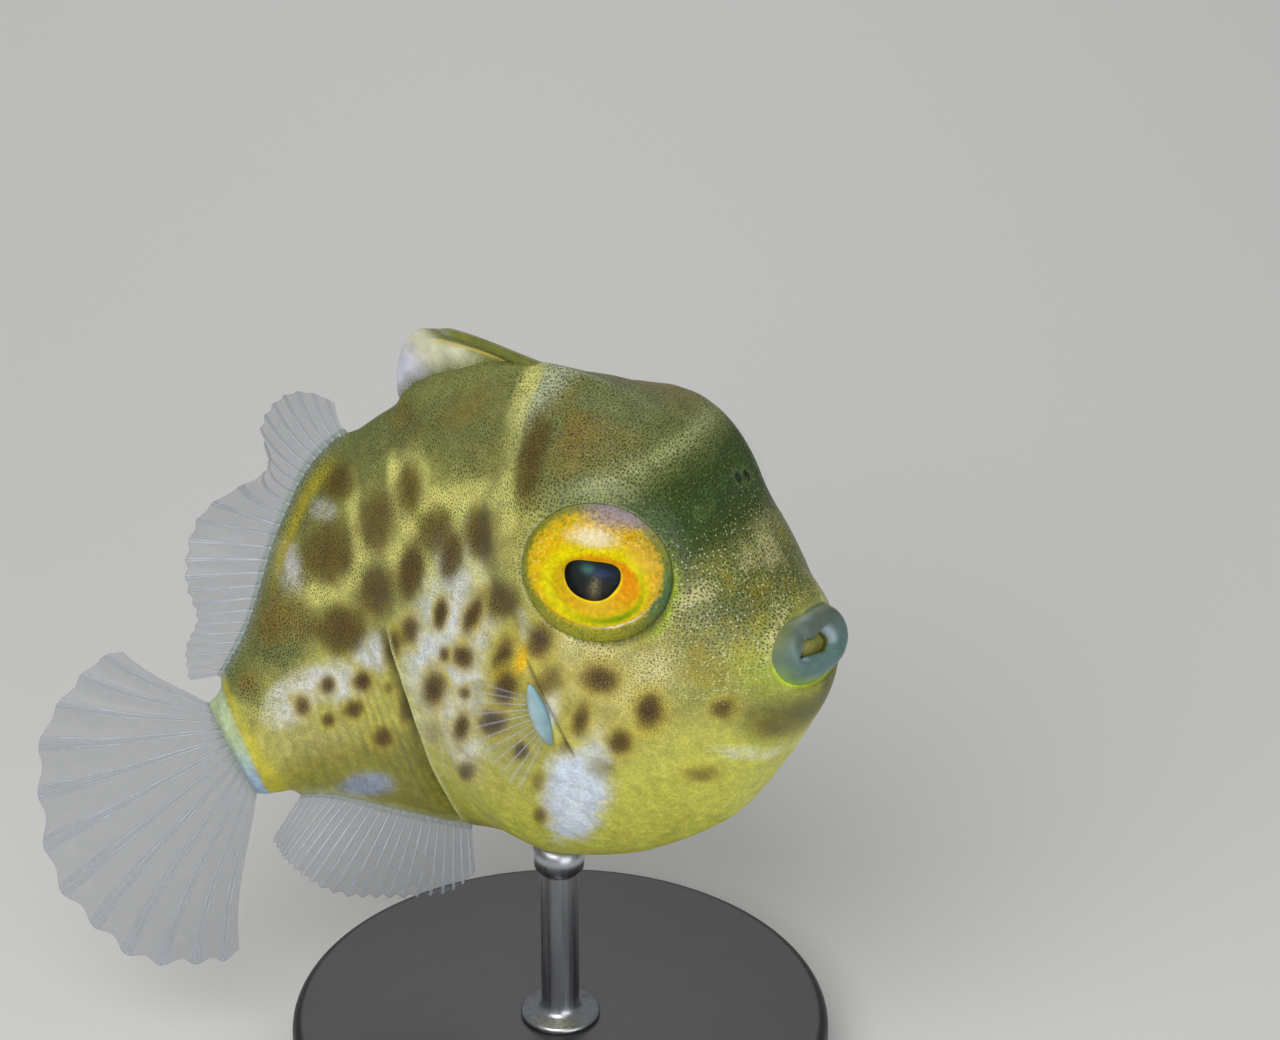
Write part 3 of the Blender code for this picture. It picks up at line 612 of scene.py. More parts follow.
def skin_relief(points, numbers):
    """How far the skin stands out from the plain loft, in millimetres."""
    s, y, z = np.moveaxis(points, -1, 0)
    u = numbers[:, None] + np.zeros_like(s)
    near = smooth(0.4, -0.4, y)
    relief = 0.035 * clouds(points, 2.2, 1) * smooth(0.2, 1.0, u)
    # Belly bulging over the bent tail, on the side it is bent to
    behind = s - fold_line(ABDOMEN_FOLD, z)
    tall = smooth(-4.2, -2.6, z) * smooth(4.9, 3.2, z)
    bulge = 0.20 * np.exp(-((np.minimum(behind, 0) / 1.1) ** 2)) * (behind < 0)
    hollow = -0.20 * np.exp(-((np.maximum(behind, 0) / 0.55) ** 2)) * (behind >= 0)
    step = bulge * smooth(0.0, -0.25, behind) + hollow * smooth(-0.05, 0.10, behind)
    relief += step * tall * near
    # Fine folds where the tail's near side is squeezed
    squeezed, ripple = stalk_folds(points)
    relief += squeezed * 0.016 * ripple * (1 + 0.8 * clouds(points, 1.1, 0))
    # Gill opening
    gill = s - fold_line(GILL_LINE, z)
    long_ = smooth(-1.0, -0.5, z) * smooth(2.7, 2.2, z)
    relief += long_ * (-0.24 * bell(gill, 0, 0.075) + 0.07 * bell(gill, -0.22, 0.20))
    # Nostrils
    for place in NOSTRILS:
        d = nostril_distance(points, place)
        relief += -0.05 * np.exp(-((d / 0.14) ** 4)) + 0.02 * bell(d, 0.25, 0.09)
    # Ridges that carry the fins
    crest = bell(y, 0, 0.30) * (z > 0)
    keel = bell(y, 0, 0.30) * (z < 0)
    relief += 0.22 * crest * smooth(7.9, 8.4, u) * smooth(11.9, 11.7, u)
    relief += 0.22 * keel * smooth(8.5, 8.9, u) * smooth(11.6, 11.4, u)
    broad = bell(y, 0, 0.42) * (z > 0)
    relief += 0.20 * broad * smooth(3.3, 4.3, u) * smooth(7.3, 6.6, u)
    relief += 0.14 * crest * smooth(4.2, 4.8, u) * smooth(7.2, 6.9, u)
    # The crease round the lips
    relief -= 0.07 * np.exp(-(((lip_share(points) - 1.03) / 0.06) ** 2)) * (s < 1.6)
    return relief


def blob(s, z, row, soft, warp):
    """Soft mask of one elliptic marking, with its edge shifted by warp."""
    s0, z0, long_, short, angle, strength = row
    c, n = math.cos(math.radians(angle)), math.sin(math.radians(angle))
    along = (s - s0) * c + (z - z0) * n
    across = -(s - s0) * n + (z - z0) * c
    d = np.hypot(along / long_, across / short)
    return strength * smooth(1 + soft, 1 - soft, d + warp)


def ribbon(s, z, line, width):
    """Soft mask along a broken line."""
    nearest = np.full(s.shape, 99.0)
    for (s0, z0), (s1, z1) in zip(line, line[1:]):
        ds, dz = s1 - s0, z1 - z0
        t = np.clip(((s - s0) * ds + (z - z0) * dz) / (ds * ds + dz * dz), 0, 1)
        nearest = np.minimum(nearest, np.hypot(s - s0 - t * ds, z - z0 - t * dz))
    return smooth(width, width * 0.25, nearest)


def skin_paint(points, numbers):
    """Pigment colour with painted shade in the creases, folds and nostrils and under the chin, how dense
    the dark cells are and how many pale specks there are.
    """
    s, y, z = np.moveaxis(points, -1, 0)
    u = numbers[:, None] + np.zeros_like(s)
    warp = 0.22 * clouds(points, 0.9, 0)
    mottle = clouds(points, 0.75, 1)
    fine = clouds(points, 0.30, 2)
    # The far flank carries the same kind of markings, shifted
    far = smooth(-0.3, 0.3, y)
    shift = clouds(points, 3.0, 2) * far
    ms, mz = s + 0.35 * shift + 0.12 * far, z - 0.30 * shift
    row = spline(SECTIONS, np.clip(u, 0, LAST))
    belly_z, back_z = row[..., 3], row[..., 1]
    level = (z - belly_z) / (back_z - belly_z)

    olive = srgb(0.42, 0.46, 0.24)
    green = srgb(0.27, 0.34, 0.11)
    pale = srgb(0.88, 0.87, 0.50)
    tint = clouds(points, 1.4, 2)[..., None]
    white = srgb(0.88, 0.91, 0.95)
    white = white + (srgb(0.92, 0.91, 0.91) - white) * smooth(-0.2, 0.5, tint)
    patchy = smooth(-0.50, 0.20, clouds(points, 0.50, 1)) * smooth(-0.75, -0.25, clouds(points, 0.24, 0))
    face = smooth(6.0, 4.0, s)

    coat = Coats(points, 0.80, 0.80, 0.34)
    coat(0.76, 0.74, 0.36, smooth(0.14, 0.34, level + 0.06 * warp))
    coat(0.70, 0.69, 0.36, smooth(0.50, 0.72, level + 0.1 * warp))
    coat.over(olive, smooth(0.78, 0.97, level + 0.1 * warp) * 0.85)
    # Face: green forehead that fades down to a yellow-green cheek
    coat(0.60, 0.62, 0.33, smooth(4.2, 2.6, s) * smooth(-1.6, 0.2, z) * 0.7)
    lit = smooth(2.6, 4.4, z + 0.25 * s + 0.5 * warp)
    coat(0.44, 0.48, 0.25, smooth(4.8, 3.2, s) * lit)
    coat.over(green, smooth(3.0, 1.9, s + 0.3 * warp) * smooth(3.3, 4.4, z) * smooth(7.4, 6.2, z))
    coat(0.18, 0.34, 0.18, smooth(2.4, 1.4, s) * bell(z, 5.2, 0.8) * 0.35)
    # The grounds; the last of them is painted shade under the chin
    for *place, colour in GROUNDS_AND_CHIN_SHADE:
        coat(*colour, blob(ms, mz, place, 0.75, warp))
    # Mottling
    cheek = smooth(8.5, 6.5, s) * smooth(-1.2, 0.3, z) * smooth(4.4, 2.8, z)
    coat(0.90, 0.86, 0.62, cheek * smooth(0.0, 0.55, mottle) * 0.55)
    coat(0.62, 0.56, 0.16, cheek * smooth(0.0, -0.55, mottle) * 0.50)
    coat.shade(0.78, smooth(0.1, 0.6, fine) * 0.45)
    coat.shade(1.14, smooth(-0.1, -0.6, fine) * 0.50)
    # Rear back and tail stalk
    coat(0.54, 0.52, 0.20, smooth(13.6, 14.8, s) * smooth(1.2, 0.0, z + 0.3 * warp) * 0.8)
    # Pale network
    for line in NETWORK:
        strength = 0.75 + 0.25 * mottle
        coat.over(pale, strength * ribbon(ms + 0.9 * warp, mz - 0.9 * warp, line, 0.58))
    bar = np.exp(-(((z - 6.95 - 0.06 * np.abs(y)) / 0.26) ** 2)) * smooth(3.4, 2.4, s)
    coat(0.68, 0.72, 0.48, 0.65 * bar)
    snow = np.zeros(s.shape)
    for place in WHITES:
        snow = np.maximum(snow, blob(ms, mz, place, 0.66, 1.6 * warp + 0.30 * fine))
    coat.over(white, np.minimum(snow * (0.38 + 0.60 * patchy), 1))
    coat(0.86, 0.92, 1.0, 0.7 * blob(ms, mz, WHITES[0][:5] + (1.0,), 0.35, 1.4 * warp + 0.25 * fine))
    coat(0.62, 0.68, 0.80, blob(ms, mz, VENT_PATCH, 0.6, warp + 0.2 * fine))
    coat(0.96, 0.76, 0.0, blob(ms, mz, ORANGE_PATCH, 0.4, warp))
    dots = 0.30 + 0.42 * smooth(0.40, 0.75, level) + 0.35 * face * smooth(-1.8, 0.5, z)
    dots = dots * (0.75 + 0.5 * smooth(-0.5, 0.5, mottle)) * (1 - 0.40 * np.minimum(snow, 1))
    rust = smooth(-0.30, 0.25, clouds(points, 1.7, 0))
    # Dark markings
    for place in SADDLES:
        mask = blob(ms, mz, place, 0.50, 1.4 * warp)
        core = blob(ms, mz - 0.25, place, 0.8, 1.4 * warp + 0.30)
        rear = 1 - 0.16 * smooth(7.0, 9.5, s)[..., None]
        coat.over(srgb(0.51, 0.53, 0.30) * rear, 0.85 * mask)
        coat.over(srgb(0.40, 0.46, 0.26) * rear, 0.65 * core * (1 - rust))
        coat(0.56, 0.43, 0.10, 0.70 * core * rust)
        dots = np.maximum(dots, mask)
    for place in BLOTCHES:
        mask = blob(ms, mz, place, 0.42, 1.2 * warp)
        core = blob(ms, mz, place, 0.85, 1.2 * warp + 0.30)
        coat(0.43, 0.375, 0.10, 0.92 * mask)
        coat(0.33, 0.21, 0.0, 0.80 * core)
        dots = np.maximum(dots, mask)
    for place in SPOTS:
        halo = blob(ms, mz, place, 0.45, 1.8 * warp - 0.60)
        mask = blob(ms, mz, place, 0.55, 1.5 * warp + 0.12 * fine)
        core = blob(ms, mz, place, 0.60, 1.3 * warp + 0.38)
        coat(0.80, 0.72, 0.22, (0.45 + 0.35 * mottle) * halo)
        coat(0.47, 0.38, 0.10, 0.92 * mask)
        coat(0.29, 0.19, 0.03, 0.88 * core)
        dots = np.maximum(dots, 0.9 * mask)
    # Tail end: a yellow edge, then a clear pale root of the fin
    end = s + 0.25 * warp
    low = np.clip(1 - level, 0, 1)
    edging = smooth(20.62 - 0.55 * low, 20.86 - 0.40 * low, end) * smooth(21.0, 20.84, end)
    coat(0.80, 0.75, 0.20, edging * (0.66 + 0.40 * mottle))
    root = mixed(srgb(0.72, 0.79, 0.62), srgb(0.60, 0.71, 0.82), smooth(0.3, 0.9, low))
    coat.over(root, smooth(20.84, 21.04, end))
    # Fin bases along back and belly
    ridge = bell(y, 0, 0.22) * (z > 0) * smooth(8.0, 8.5, u) * smooth(11.95, 11.8, u)
    coat(0.58, 0.64, 0.66, 0.85 * ridge)
    stripe = bell(np.abs(y), 0.55, 0.20) * (z > 0) * smooth(8.2, 8.9, u) * smooth(10.6, 10.0, u)
    coat(0.74, 0.68, 0.14, 0.85 * stripe)
    keel = bell(y, 0, 0.30) * (z < 0) * smooth(8.4, 8.9, u) * smooth(11.7, 11.4, u)
    coat(0.74, 0.77, 0.68, 0.7 * keel)
    # Creases, their hollows darkened with painted shade
    # Painted shade: a dark line along the groove of the gill opening
    gill = s - fold_line(GILL_LINE, z)
    long_ = smooth(-1.0, -0.5, z) * smooth(2.7, 2.2, z)
    coat(0.20, 0.20, 0.12, 0.85 * long_ * bell(gill, 0, 0.06))
    # Painted shade in the hollow behind the belly fold: a dark band, a darker line in its upper part and
    # three dark pleat lines
    behind = s - fold_line(ABDOMEN_FOLD, z)
    tall = smooth(-3.6, -2.4, z) * smooth(4.6, 3.4, z) * smooth(0.4, -0.4, y)
    streak = 0.75 + 0.5 * clouds(np.stack([behind * 3, y, z * 0.5], -1), 0.6, 1)
    band = smooth(0.05, 0.25, behind) * smooth(1.00, 0.55, behind + 0.3 * warp) * smooth(-1.8, 0.6, z)
    coat(0.40, 0.38, 0.12, np.clip(0.85 * tall * band * streak, 0, 1))
    upper = bell(behind - 0.32 - 0.10 * warp, 0, 0.24) * smooth(0.2, 1.2, z) * tall
    coat(0.27, 0.23, 0.07, np.clip(0.88 * upper * streak, 0, 1))
    for place, width in ((0.50, 0.10), (0.85, 0.08), (1.30, 0.10)):
        pleat = bell(behind - place - 0.10 * z, 0, width) * smooth(-3.0, -1.4, z) * smooth(2.0, 0.4, z)
        coat(0.44, 0.42, 0.14, np.clip(0.55 * tall * pleat * streak, 0, 1))
    lip_of_fold = bell(behind, -0.20, 0.17) * tall
    coat(0.90, 0.91, 0.62, lip_of_fold * (0.70 + 0.2 * mottle))
    # Painted shade in the troughs of the fine folds on the squeezed side of the tail stalk
    squeezed, ripple = stalk_folds(points)
    patches = smooth(-0.25, 0.35, clouds(points, 0.9, 1))
    coat.shade(0.76, squeezed * smooth(0.0, 0.9, -ripple) * 0.50 * patches)
    for place in NOSTRILS:
        d = nostril_distance(points, place)
        coat(0.42, 0.52, 0.26, 0.5 * bell(d, 0.26, 0.09))
        # Painted shade: near black in the nostril's pit
        coat(0.06, 0.09, 0.04, 0.92 * smooth(0.22, 0.12, d))
    # Rings of skin round the eyes
    for side in (1, -1):
        radius, height, clock = eye_polar(points, side)
        close = (height > -1.2) & (radius < 3.4)
        seam = smooth(2.25, 2.20, radius) * close
        coat(0.25, 0.29, 0.18, 0.9 * seam)
        pale_ring = bell(radius, 2.29, 0.035) * close
        coat(0.62, 0.66, 0.50, (0.25 + 0.40 * smooth(-0.2, 0.9, np.sin(clock))) * pale_ring)
        lower_front = bell(clock, -0.75, 0.60)
        bright = smooth(2.66, 2.34, radius) * smooth(2.22, 2.28, radius) * lower_front * close
        coat(0.62, 0.72, 0.10, 0.80 * bright)
    # Lips' crease and throat
    ring = lip_share(points)
    muzzle = s < 1.6
    crease = bell(ring, 1.01, 0.040) * muzzle
    coat(0.76, 0.86, 0.14, 0.9 * crease * smooth(0.5, -0.4, z))
    coat(0.42, 0.48, 0.34, smooth(0.98, 0.92, ring) * muzzle)
    coat(0.56, 0.56, 0.26, smooth(-1.2, -1.9, u))
    bare = np.where(muzzle, smooth(1.02, 1.16, ring), 1.0)
    dots *= bare * smooth(20.9, 20.4, s) * (1 - 0.5 * (s > 8) * (z < -2.0))
    specks = smooth(3.6, 2.2, s) * smooth(-1.4, 0.6, z) * smooth(5.4, 3.4, z) + 0.5 * bar
    patch = 0.8 * blob(ms, mz, GROUNDS_AND_CHIN_SHADE[9][:6], 0.6, warp)
    specks += patch + 0.25 * smooth(7.5, 5.0, s) * smooth(-1.2, 0.4, z)
    return coat.seen, np.clip(dots, 0, 1), np.clip(specks * bare, 0, 1)


def charts(grid):
    """Which axis of the row frame each point of the skin faces most: 0, 1 or 2."""
    return np.argmax(np.abs(grid_normals(placed(grid) / MM)), axis=-1).astype(float)


def build_skin(material):
    rings, numbers = skin_rings()
    normal = grid_normals(rings)
    relief = skin_relief(rings, numbers)
    shaped = raise_orbits(rings + normal * relief[..., None])
    paint, dots, specks = skin_paint(shaped, numbers)
    values = {"dots": dots, "specks": specks, "chart": charts(shaped)}
    skin = tube("skin", shaped, material, paint, values)
    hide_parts("head", "trunk", "tail_stalk")
    return skin


# Lips
def build_lips(material):
    """One broad soft pad round a crooked almond opening."""
    steps, sides = 260, 96
    angle = math.tau * np.arange(steps) / steps
    roll = math.tau * np.arange(sides) / sides
    a, r = np.meshgrid(angle, roll, indexing="ij")
    c, n = np.cos(a), np.sin(a)
    degrees = np.degrees(a)
    inner_y, inner_z = 0 * a, 0 * a
    for shift in (-10, -5, 0, 5, 10):
        inner_y = inner_y + np.interp(degrees + shift, LIP_OPENING[:, 0], LIP_OPENING[:, 1], period=360) / 5
        inner_z = inner_z + np.interp(degrees + shift, LIP_OPENING[:, 0], LIP_OPENING[:, 2], period=360) / 5
    corner_up = bell(degrees, 132, 34)
    outer_y = LIP_OUTER[0] * c + 0.05 - 0.10 * corner_up
    outer_z = LIP_OUTER[1] * n + 0.20 * corner_up
    out = np.sign(np.cos(r)) * np.abs(np.cos(r)) ** 0.90
    fore = np.sign(np.sin(r)) * np.abs(np.sin(r)) ** 0.90
    y = (inner_y + outer_y) / 2 + (outer_y - inner_y) / 2 * out
    z = (inner_z + outer_z) / 2 + (outer_z - inner_z) / 2 * out
    crowding = NOISE[1](np.stack([c, n, 0 * c], -1), 0.35)
    pucker = 0.006 * np.sin(a * 26 + 4 * crowding) * smooth(0.3, -0.8, out)
    depth = LIP_DEPTH * (1 - 0.30 * smooth(-0.2, 1.0, out))
    s = LIP_FRONT + z * LIP_SLOPE + 0.10 * (y / LIP_OUTER[0]) ** 2 + depth * fore
    s = s + 0.50 * smooth(0.0, 1.1, out) ** 1.7 - pucker * (fore < 0)
    points = np.stack([s, y, z], -1)
    points[..., 0] -= 0.035 * clouds(points, 0.8, 0) + 0.012 * clouds(points, 0.25, 1)
    mottle = clouds(points, 0.45, 2)
    coat = Coats(points, 0.38, 0.47, 0.45)
    coat(0.38, 0.52, 0.50, smooth(0.1, -0.5, n) * 0.7)
    coat(0.40, 0.44, 0.37, smooth(0.2, 0.8, n) * 0.7)
    coat(0.56, 0.62, 0.64, smooth(0.1, 0.6, mottle) * 0.35)
    coat(0.29, 0.36, 0.32, smooth(-0.1, -0.6, mottle) * 0.40)
    coat(0.52, 0.63, 0.26, smooth(0.30, 0.95, out + 0.3 * mottle) * smooth(0.4, -0.4, n) * 0.75)
    coat(0.50, 0.54, 0.30, smooth(0.30, 0.90, out) * smooth(0.0, 0.7, n) * 0.8)
    # Painted highlight: bluish white on the inner rim at the corners of the mouth
    corner = bell(out, -0.72, 0.22) * smooth(0.75, 0.95, np.abs(c))
    coat(0.70, 0.76, 0.80, 0.65 * corner)
    coat(0.34, 0.36, 0.16, smooth(-0.90, -0.99, out) * (fore > -0.4))
    lips = make_mesh("lips", placed(points), torus_faces(steps, sides), material, coat.seen)
    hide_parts("upper_lip", "lower_lip")
    return lips


def torus_faces(steps, sides):
    i = np.arange(steps)[:, None]
    k = np.arange(sides)[None, :]
    a = i * sides + k
    b = i * sides + (k + 1) % sides
    c = ((i + 1) % steps) * sides + (k + 1) % sides
    d = ((i + 1) % steps) * sides + k
    return np.concatenate([np.stack([a, b, c], -1).reshape(-1, 3), np.stack([a, c, d], -1).reshape(-1, 3)])


# Eyes

# The iris lies a little off level. Its rings, from the pupil out: centre and half sizes
# across and up, in millimetres, in axes turned by EYE_TILT from the fish's own
EYE_TILT = math.radians(-28.0)
PUPIL_MIDDLE = np.array((-0.10, -0.17))
IRIS_RINGS = (
    (0.05, -0.33, 1.22, 0.95), (-0.06, -0.36, 1.56, 1.28), (-0.06, 0.15, 1.97, 1.83),
    (0.0, 0.0, 2.26, 2.26),
)
# The pupil's flat-topped outline: angle in degrees, radius from its middle
PUPIL = np.array(
    (
        (6, 0.80), (28, 0.84), (40, 0.77), (54, 0.65), (73, 0.55), (93, 0.52), (118, 0.59),
        (133, 0.71), (151, 0.87), (169, 0.89), (186, 0.86), (211, 0.83), (253, 0.75), (283, 0.74),
        (332, 0.71),
    )
)
# Height over the rim by ring number: 0 the pupil's edge, 4 the eye's edge
EYE_HEIGHTS = np.array(
    (
        (-0.05, -0.10), (0.0, -0.03), (0.10, 0.02), (0.5, 0.06), (1.0, 0.085), (2.0, 0.11),
        (3.0, 0.10), (3.4, 0.085), (3.8, 0.03), (4.0, -0.04), (4.12, -0.20), (4.30, -0.60),
    )
)


def ring_radii(angle):
    """Distance from the pupil's middle to the pupil's edge and to each ring, at each angle."""
    degrees = np.degrees(angle) % 360
    pupil = np.zeros(angle.shape)
    for shift in (-9, -4, 0, 4, 9):
        pupil = pupil + np.interp(degrees + shift, PUPIL[:, 0], PUPIL[:, 1], period=360) / 5
    radii = [pupil]
    for across, up, half_across, half_up in IRIS_RINGS:
        half = np.array((half_across, half_up))
        start = (PUPIL_MIDDLE - (across, up)) / half
        step = np.stack([np.cos(angle), np.sin(angle)], -1) / half
        along, size = step @ start, (step**2).sum(-1)
        radii.append((np.sqrt(along**2 - size * (start @ start - 1)) - along) / size)
    return np.array(radii)


def eye_points(side, across, up, height):
    """Points of an eye from tilted axes across and up, and the height over its rim."""
    centre, forward, above, look = eye_axes(side)
    c, n = math.cos(EYE_TILT), math.sin(EYE_TILT)
    along, over = across * c - up * n, across * n + up * c
    return centre + along[..., None] * forward + over[..., None] * above + height[..., None] * look


def build_eye(side, word, materials):
    around = 320
    angle = math.tau * np.arange(around) / around
    radii = ring_radii(angle)
    spans = ((4.30, 3.9, 8), (3.87, 3.0, 26), (2.97, 0.12, 88), (0.09, 0, 4))
    levels = np.concatenate([np.linspace(*span) for span in spans])
    level = levels[:, None] + np.zeros((1, around))
    k = np.clip(np.floor(level).astype(int), 0, 3)
    columns = np.arange(around)[None, :]
    radius = radii[k, columns] + (radii[k + 1, columns] - radii[k, columns]) * (level - k)
    height = np.interp(level, EYE_HEIGHTS[:, 0], EYE_HEIGHTS[:, 1])
    funnel = 1 + 0.05 * np.arange(1, 9)[:, None]
    radius = np.concatenate([radius, radii[0] * funnel])
    height = np.concatenate([height, -0.06 - (funnel - 1) + 0 * radii[0]])
    level = np.concatenate([level, 0 * radius[-8:] - 1])
    across = PUPIL_MIDDLE[0] + radius * np.cos(angle)
    up = PUPIL_MIDDLE[1] + radius * np.sin(angle)
    local = np.stack([across, up, 0 * up + side], -1)
    height = height + 0.010 * clouds(local, 0.16, 1) * (level < 3) * (level > 0.1)
    points = eye_points(side, across, up, height)
    ends = eye_points(side, np.zeros(2), np.zeros(2), np.array([-1.2, -0.8]))
    all_points = np.concatenate([points.reshape(-1, 3), ends])
    paint = np.concatenate([paint_iris(local, level).reshape(-1, 3), np.zeros((2, 3)) + 0.01])
    faces = tube_faces(len(points), around)
    globe = make_mesh(f"{word}_iris", placed(all_points), faces, materials["iris"], paint)
    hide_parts(f"eye_{word}")
    lens = dome(f"{word}_lens", side, 1.35, 0.53, -0.60, materials["lens"], paint_pupil)
    cornea = dome(f"{word}_cornea", side, 2.30, 1.10, -0.16, materials["cornea"])
    return [globe, lens, cornea]


def paint_iris(local, level):
    """Iris colours by ring number and by place, with gold grain, fine rays and a painted white highlight
    low on the rim.
    """
    across, up = local[..., 0], local[..., 1]
    clock = np.degrees(np.arctan2(up, across))
    grain, dust = NOISE[2](local, 0.070), NOISE[0](local, 0.045)
    patch = clouds(local, 0.6, 0)
    fibre = NOISE[1](np.stack([np.radians(clock) * 9, level * 0.8, 0 * level], -1), 0.25)
    level = level + 0.10 * patch * smooth(0.3, 0.8, level) * smooth(3.6, 3.0, level)

    def near(angle, spread):
        return np.exp(-((((clock - angle + 180) % 360 - 180) / spread) ** 2))

    # Clear skin at the edge: olive, blue-green below in front, dusted with dark cells
    coat = Coats(local, 0.54, 0.54, 0.17)
    coat(0.34, 0.48, 0.34, near(-12, 30) * 0.95)
    coat(0.52, 0.48, 0.52, near(78, 26))
    coat(0.66, 0.66, 0.22, near(-95, 34) * 0.6)
    coat(0.28, 0.33, 0.22, 0.6 * smooth(3.84, 3.98, level))
    # Speckled gold, its edge dusted away
    iris = smooth(3.34, 2.74, level + 0.7 * (grain - 0.5) + 0.5 * (dust - 0.5))
    coat(0.87, 0.74, 0.0, iris)
    outer = iris * smooth(1.75, 2.35, level)
    coat(0.84, 0.68, 0.20, outer * near(15, 50) * 0.7)
    coat(0.91, 0.66, 0.0, outer * 0.50 * smooth(0.50, 0.66, grain))
    coat(0.93, 0.86, 0.55, outer * 0.35 * smooth(0.64, 0.76, dust) * smooth(2.0, 2.7, level))
    coat(0.72, 0.58, 0.10, outer * 0.55 * smooth(0.38, 0.22, grain))
    cream = np.hypot((across + 0.25) / 0.74, (up - 1.13) / 0.40) + 0.45 * patch + 0.5 * (grain - 0.5)
    coat(0.92, 0.87, 0.72, iris * smooth(1.35, 0.25, cream) * 0.95)
    lilac = np.hypot((across - 0.42) / 0.85, (up - 1.93) / 0.42) + 0.6 * (dust - 0.5) + 0.4 * patch
    coat(0.62, 0.56, 0.57, smooth(1.3, 0.4, lilac) * smooth(4.0, 3.8, level) * 0.80)
    # Dark cells thin out from the rim inwards, furthest in at the top
    reach = 2.70 - 0.60 * near(65, 60)
    speck = NOISE[1](local, 0.030)
    cells = smooth(0.60, 0.74, speck) * smooth(reach, reach + 0.60, level) * smooth(4.0, 3.8, level)
    coat(0.20, 0.21, 0.10, 0.62 * cells)
    # Lemon ring, greener below, its edges soft
    ring = smooth(2.45, 1.75, level + 0.3 * (grain - 0.5))
    coat(0.88, 0.82, 0.0, ring * (1 - 0.75 * smooth(1.3, 0.4, cream)))
    coat(0.46, 0.58, 0.0, ring * near(-60, 46) * bell(level, 1.55, 0.44) * 0.95)
    coat(0.74, 0.66, 0.0, ring * near(200, 60) * bell(level, 1.05, 0.36) * 0.7)
    # Orange in front of the pupil, gold round the rest
    inner = smooth(1.45, 0.60, level + 0.25 * (grain - 0.5))
    coat(0.88, 0.64, 0.0, inner)
    coat(0.90, 0.56, 0.02, inner * near(0, 42) * 0.85)
    coat(0.78, 0.67, 0.02, inner * near(-160, 42) * 0.85)
    coat(0.86, 0.72, 0.16, inner * near(-85, 34) * 0.85)
    coat(0.86, 0.60, 0.0, inner * near(105, 45) * 0.6)
    speckled = iris * smooth(0.15, 0.4, level)
    coat.shade(0.72, speckled * smooth(0.55, 0.80, fibre) * 0.35)
    coat.shade(0.70, speckled * smooth(0.40, 0.15, dust) * 0.45)
    coat.over(np.minimum(coat.seen * 1.25, 1), speckled * smooth(0.60, 0.80, dust) * 0.6)
    coat(0.98, 0.86, 0.10, smooth(0.17, 0.08, level) * smooth(-0.02, 0.01, level))
    # Painted highlight: a broken white arc low on the eye's rim, towards the front
    white = bell(level, 2.98, 0.09) * near(-62, 24) * smooth(0.20, 0.45, dust)
    coat(0.92, 0.95, 0.90, white)
    coat(0.03, 0.04, 0.04, (level < -0.01) * 1.0)
    return coat.seen


def paint_pupil(local):
    """Near black, with painted reflections, a teal glint above and a blue one beside it, and a speckled
    pale streak down the middle.
    """
    across, up = local[..., 0], local[..., 1]
    dust = NOISE[1](local, 0.045)
    coat = Coats(local, 0.07, 0.10, 0.11)
    # Painted reflections: a teal glint at the upper left and a blue one across the middle
    teal_reflection = np.exp(-(((across + 0.30) / 0.20) ** 2) - ((up - 0.06) / 0.16) ** 2)
    coat(0.28, 0.46, 0.42, 0.85 * teal_reflection)
    blue = np.exp(-(((across - 0.10) / 0.30) ** 2) - ((up + 0.02) / 0.14) ** 2)
    coat(0.16, 0.24, 0.42, 0.8 * blue)
    streak = np.exp(-(((across + 0.02 - 0.10 * up) / 0.16) ** 2)) * smooth(0.10, -0.50, up)
    coat(0.60, 0.57, 0.40, 0.75 * streak * (0.35 + 0.65 * smooth(0.3, 0.8, dust)))
    low = smooth(-0.40, -0.85, up)
    coat(0.28, 0.22, 0.28, 0.6 * low * smooth(0.3, 0.8, dust))
    return coat.seen


def dome(name, side, radius, rise, base, material, painter=None):
    """A closed cap of an ellipsoid over an eye, its foot at height base."""
    around, rows = 160, 72
    angle = math.tau * np.arange(around) / around
    lat = (math.pi / 2 * np.arange(rows) / rows)[:, None]
    across, up = np.cos(angle) * radius * np.cos(lat), np.sin(angle) * radius * np.cos(lat)
    points = eye_points(side, across, up, base + rise * np.sin(lat) + 0 * across)
    ends = eye_points(side, np.zeros(2), np.zeros(2), np.array([base - 1.0, base + rise]))
    all_points = np.concatenate([points.reshape(-1, 3), ends])
    colours = None
    if painter:
        local = np.stack([across, up, 0 * up + side], -1).reshape(-1, 3)
        colours = painter(np.concatenate([local, np.array([(0.0, 0.0, side)] * 2)]))
    return make_mesh(name, placed(all_points), tube_faces(rows, around), material, colours)


# Fins
def fin_grid(middle, rays, per_ray, rows):
    """A grid of middle points in the straight frame, its columns gathered at the rays."""
    step = np.linspace(-1, 1, per_ray + 1)[:-1]
    within = 0.5 + 0.5 * np.sign(step) * np.abs(step) ** 1.5
    columns = np.append((np.arange(rays)[:, None] + within[None, :]).ravel(), rays) / rays
    share = columns[:, None] + np.zeros((1, rows))
    down = np.linspace(0, 1, rows)[None, :] + np.zeros((len(columns), 1))
    return middle(share, down), share, down


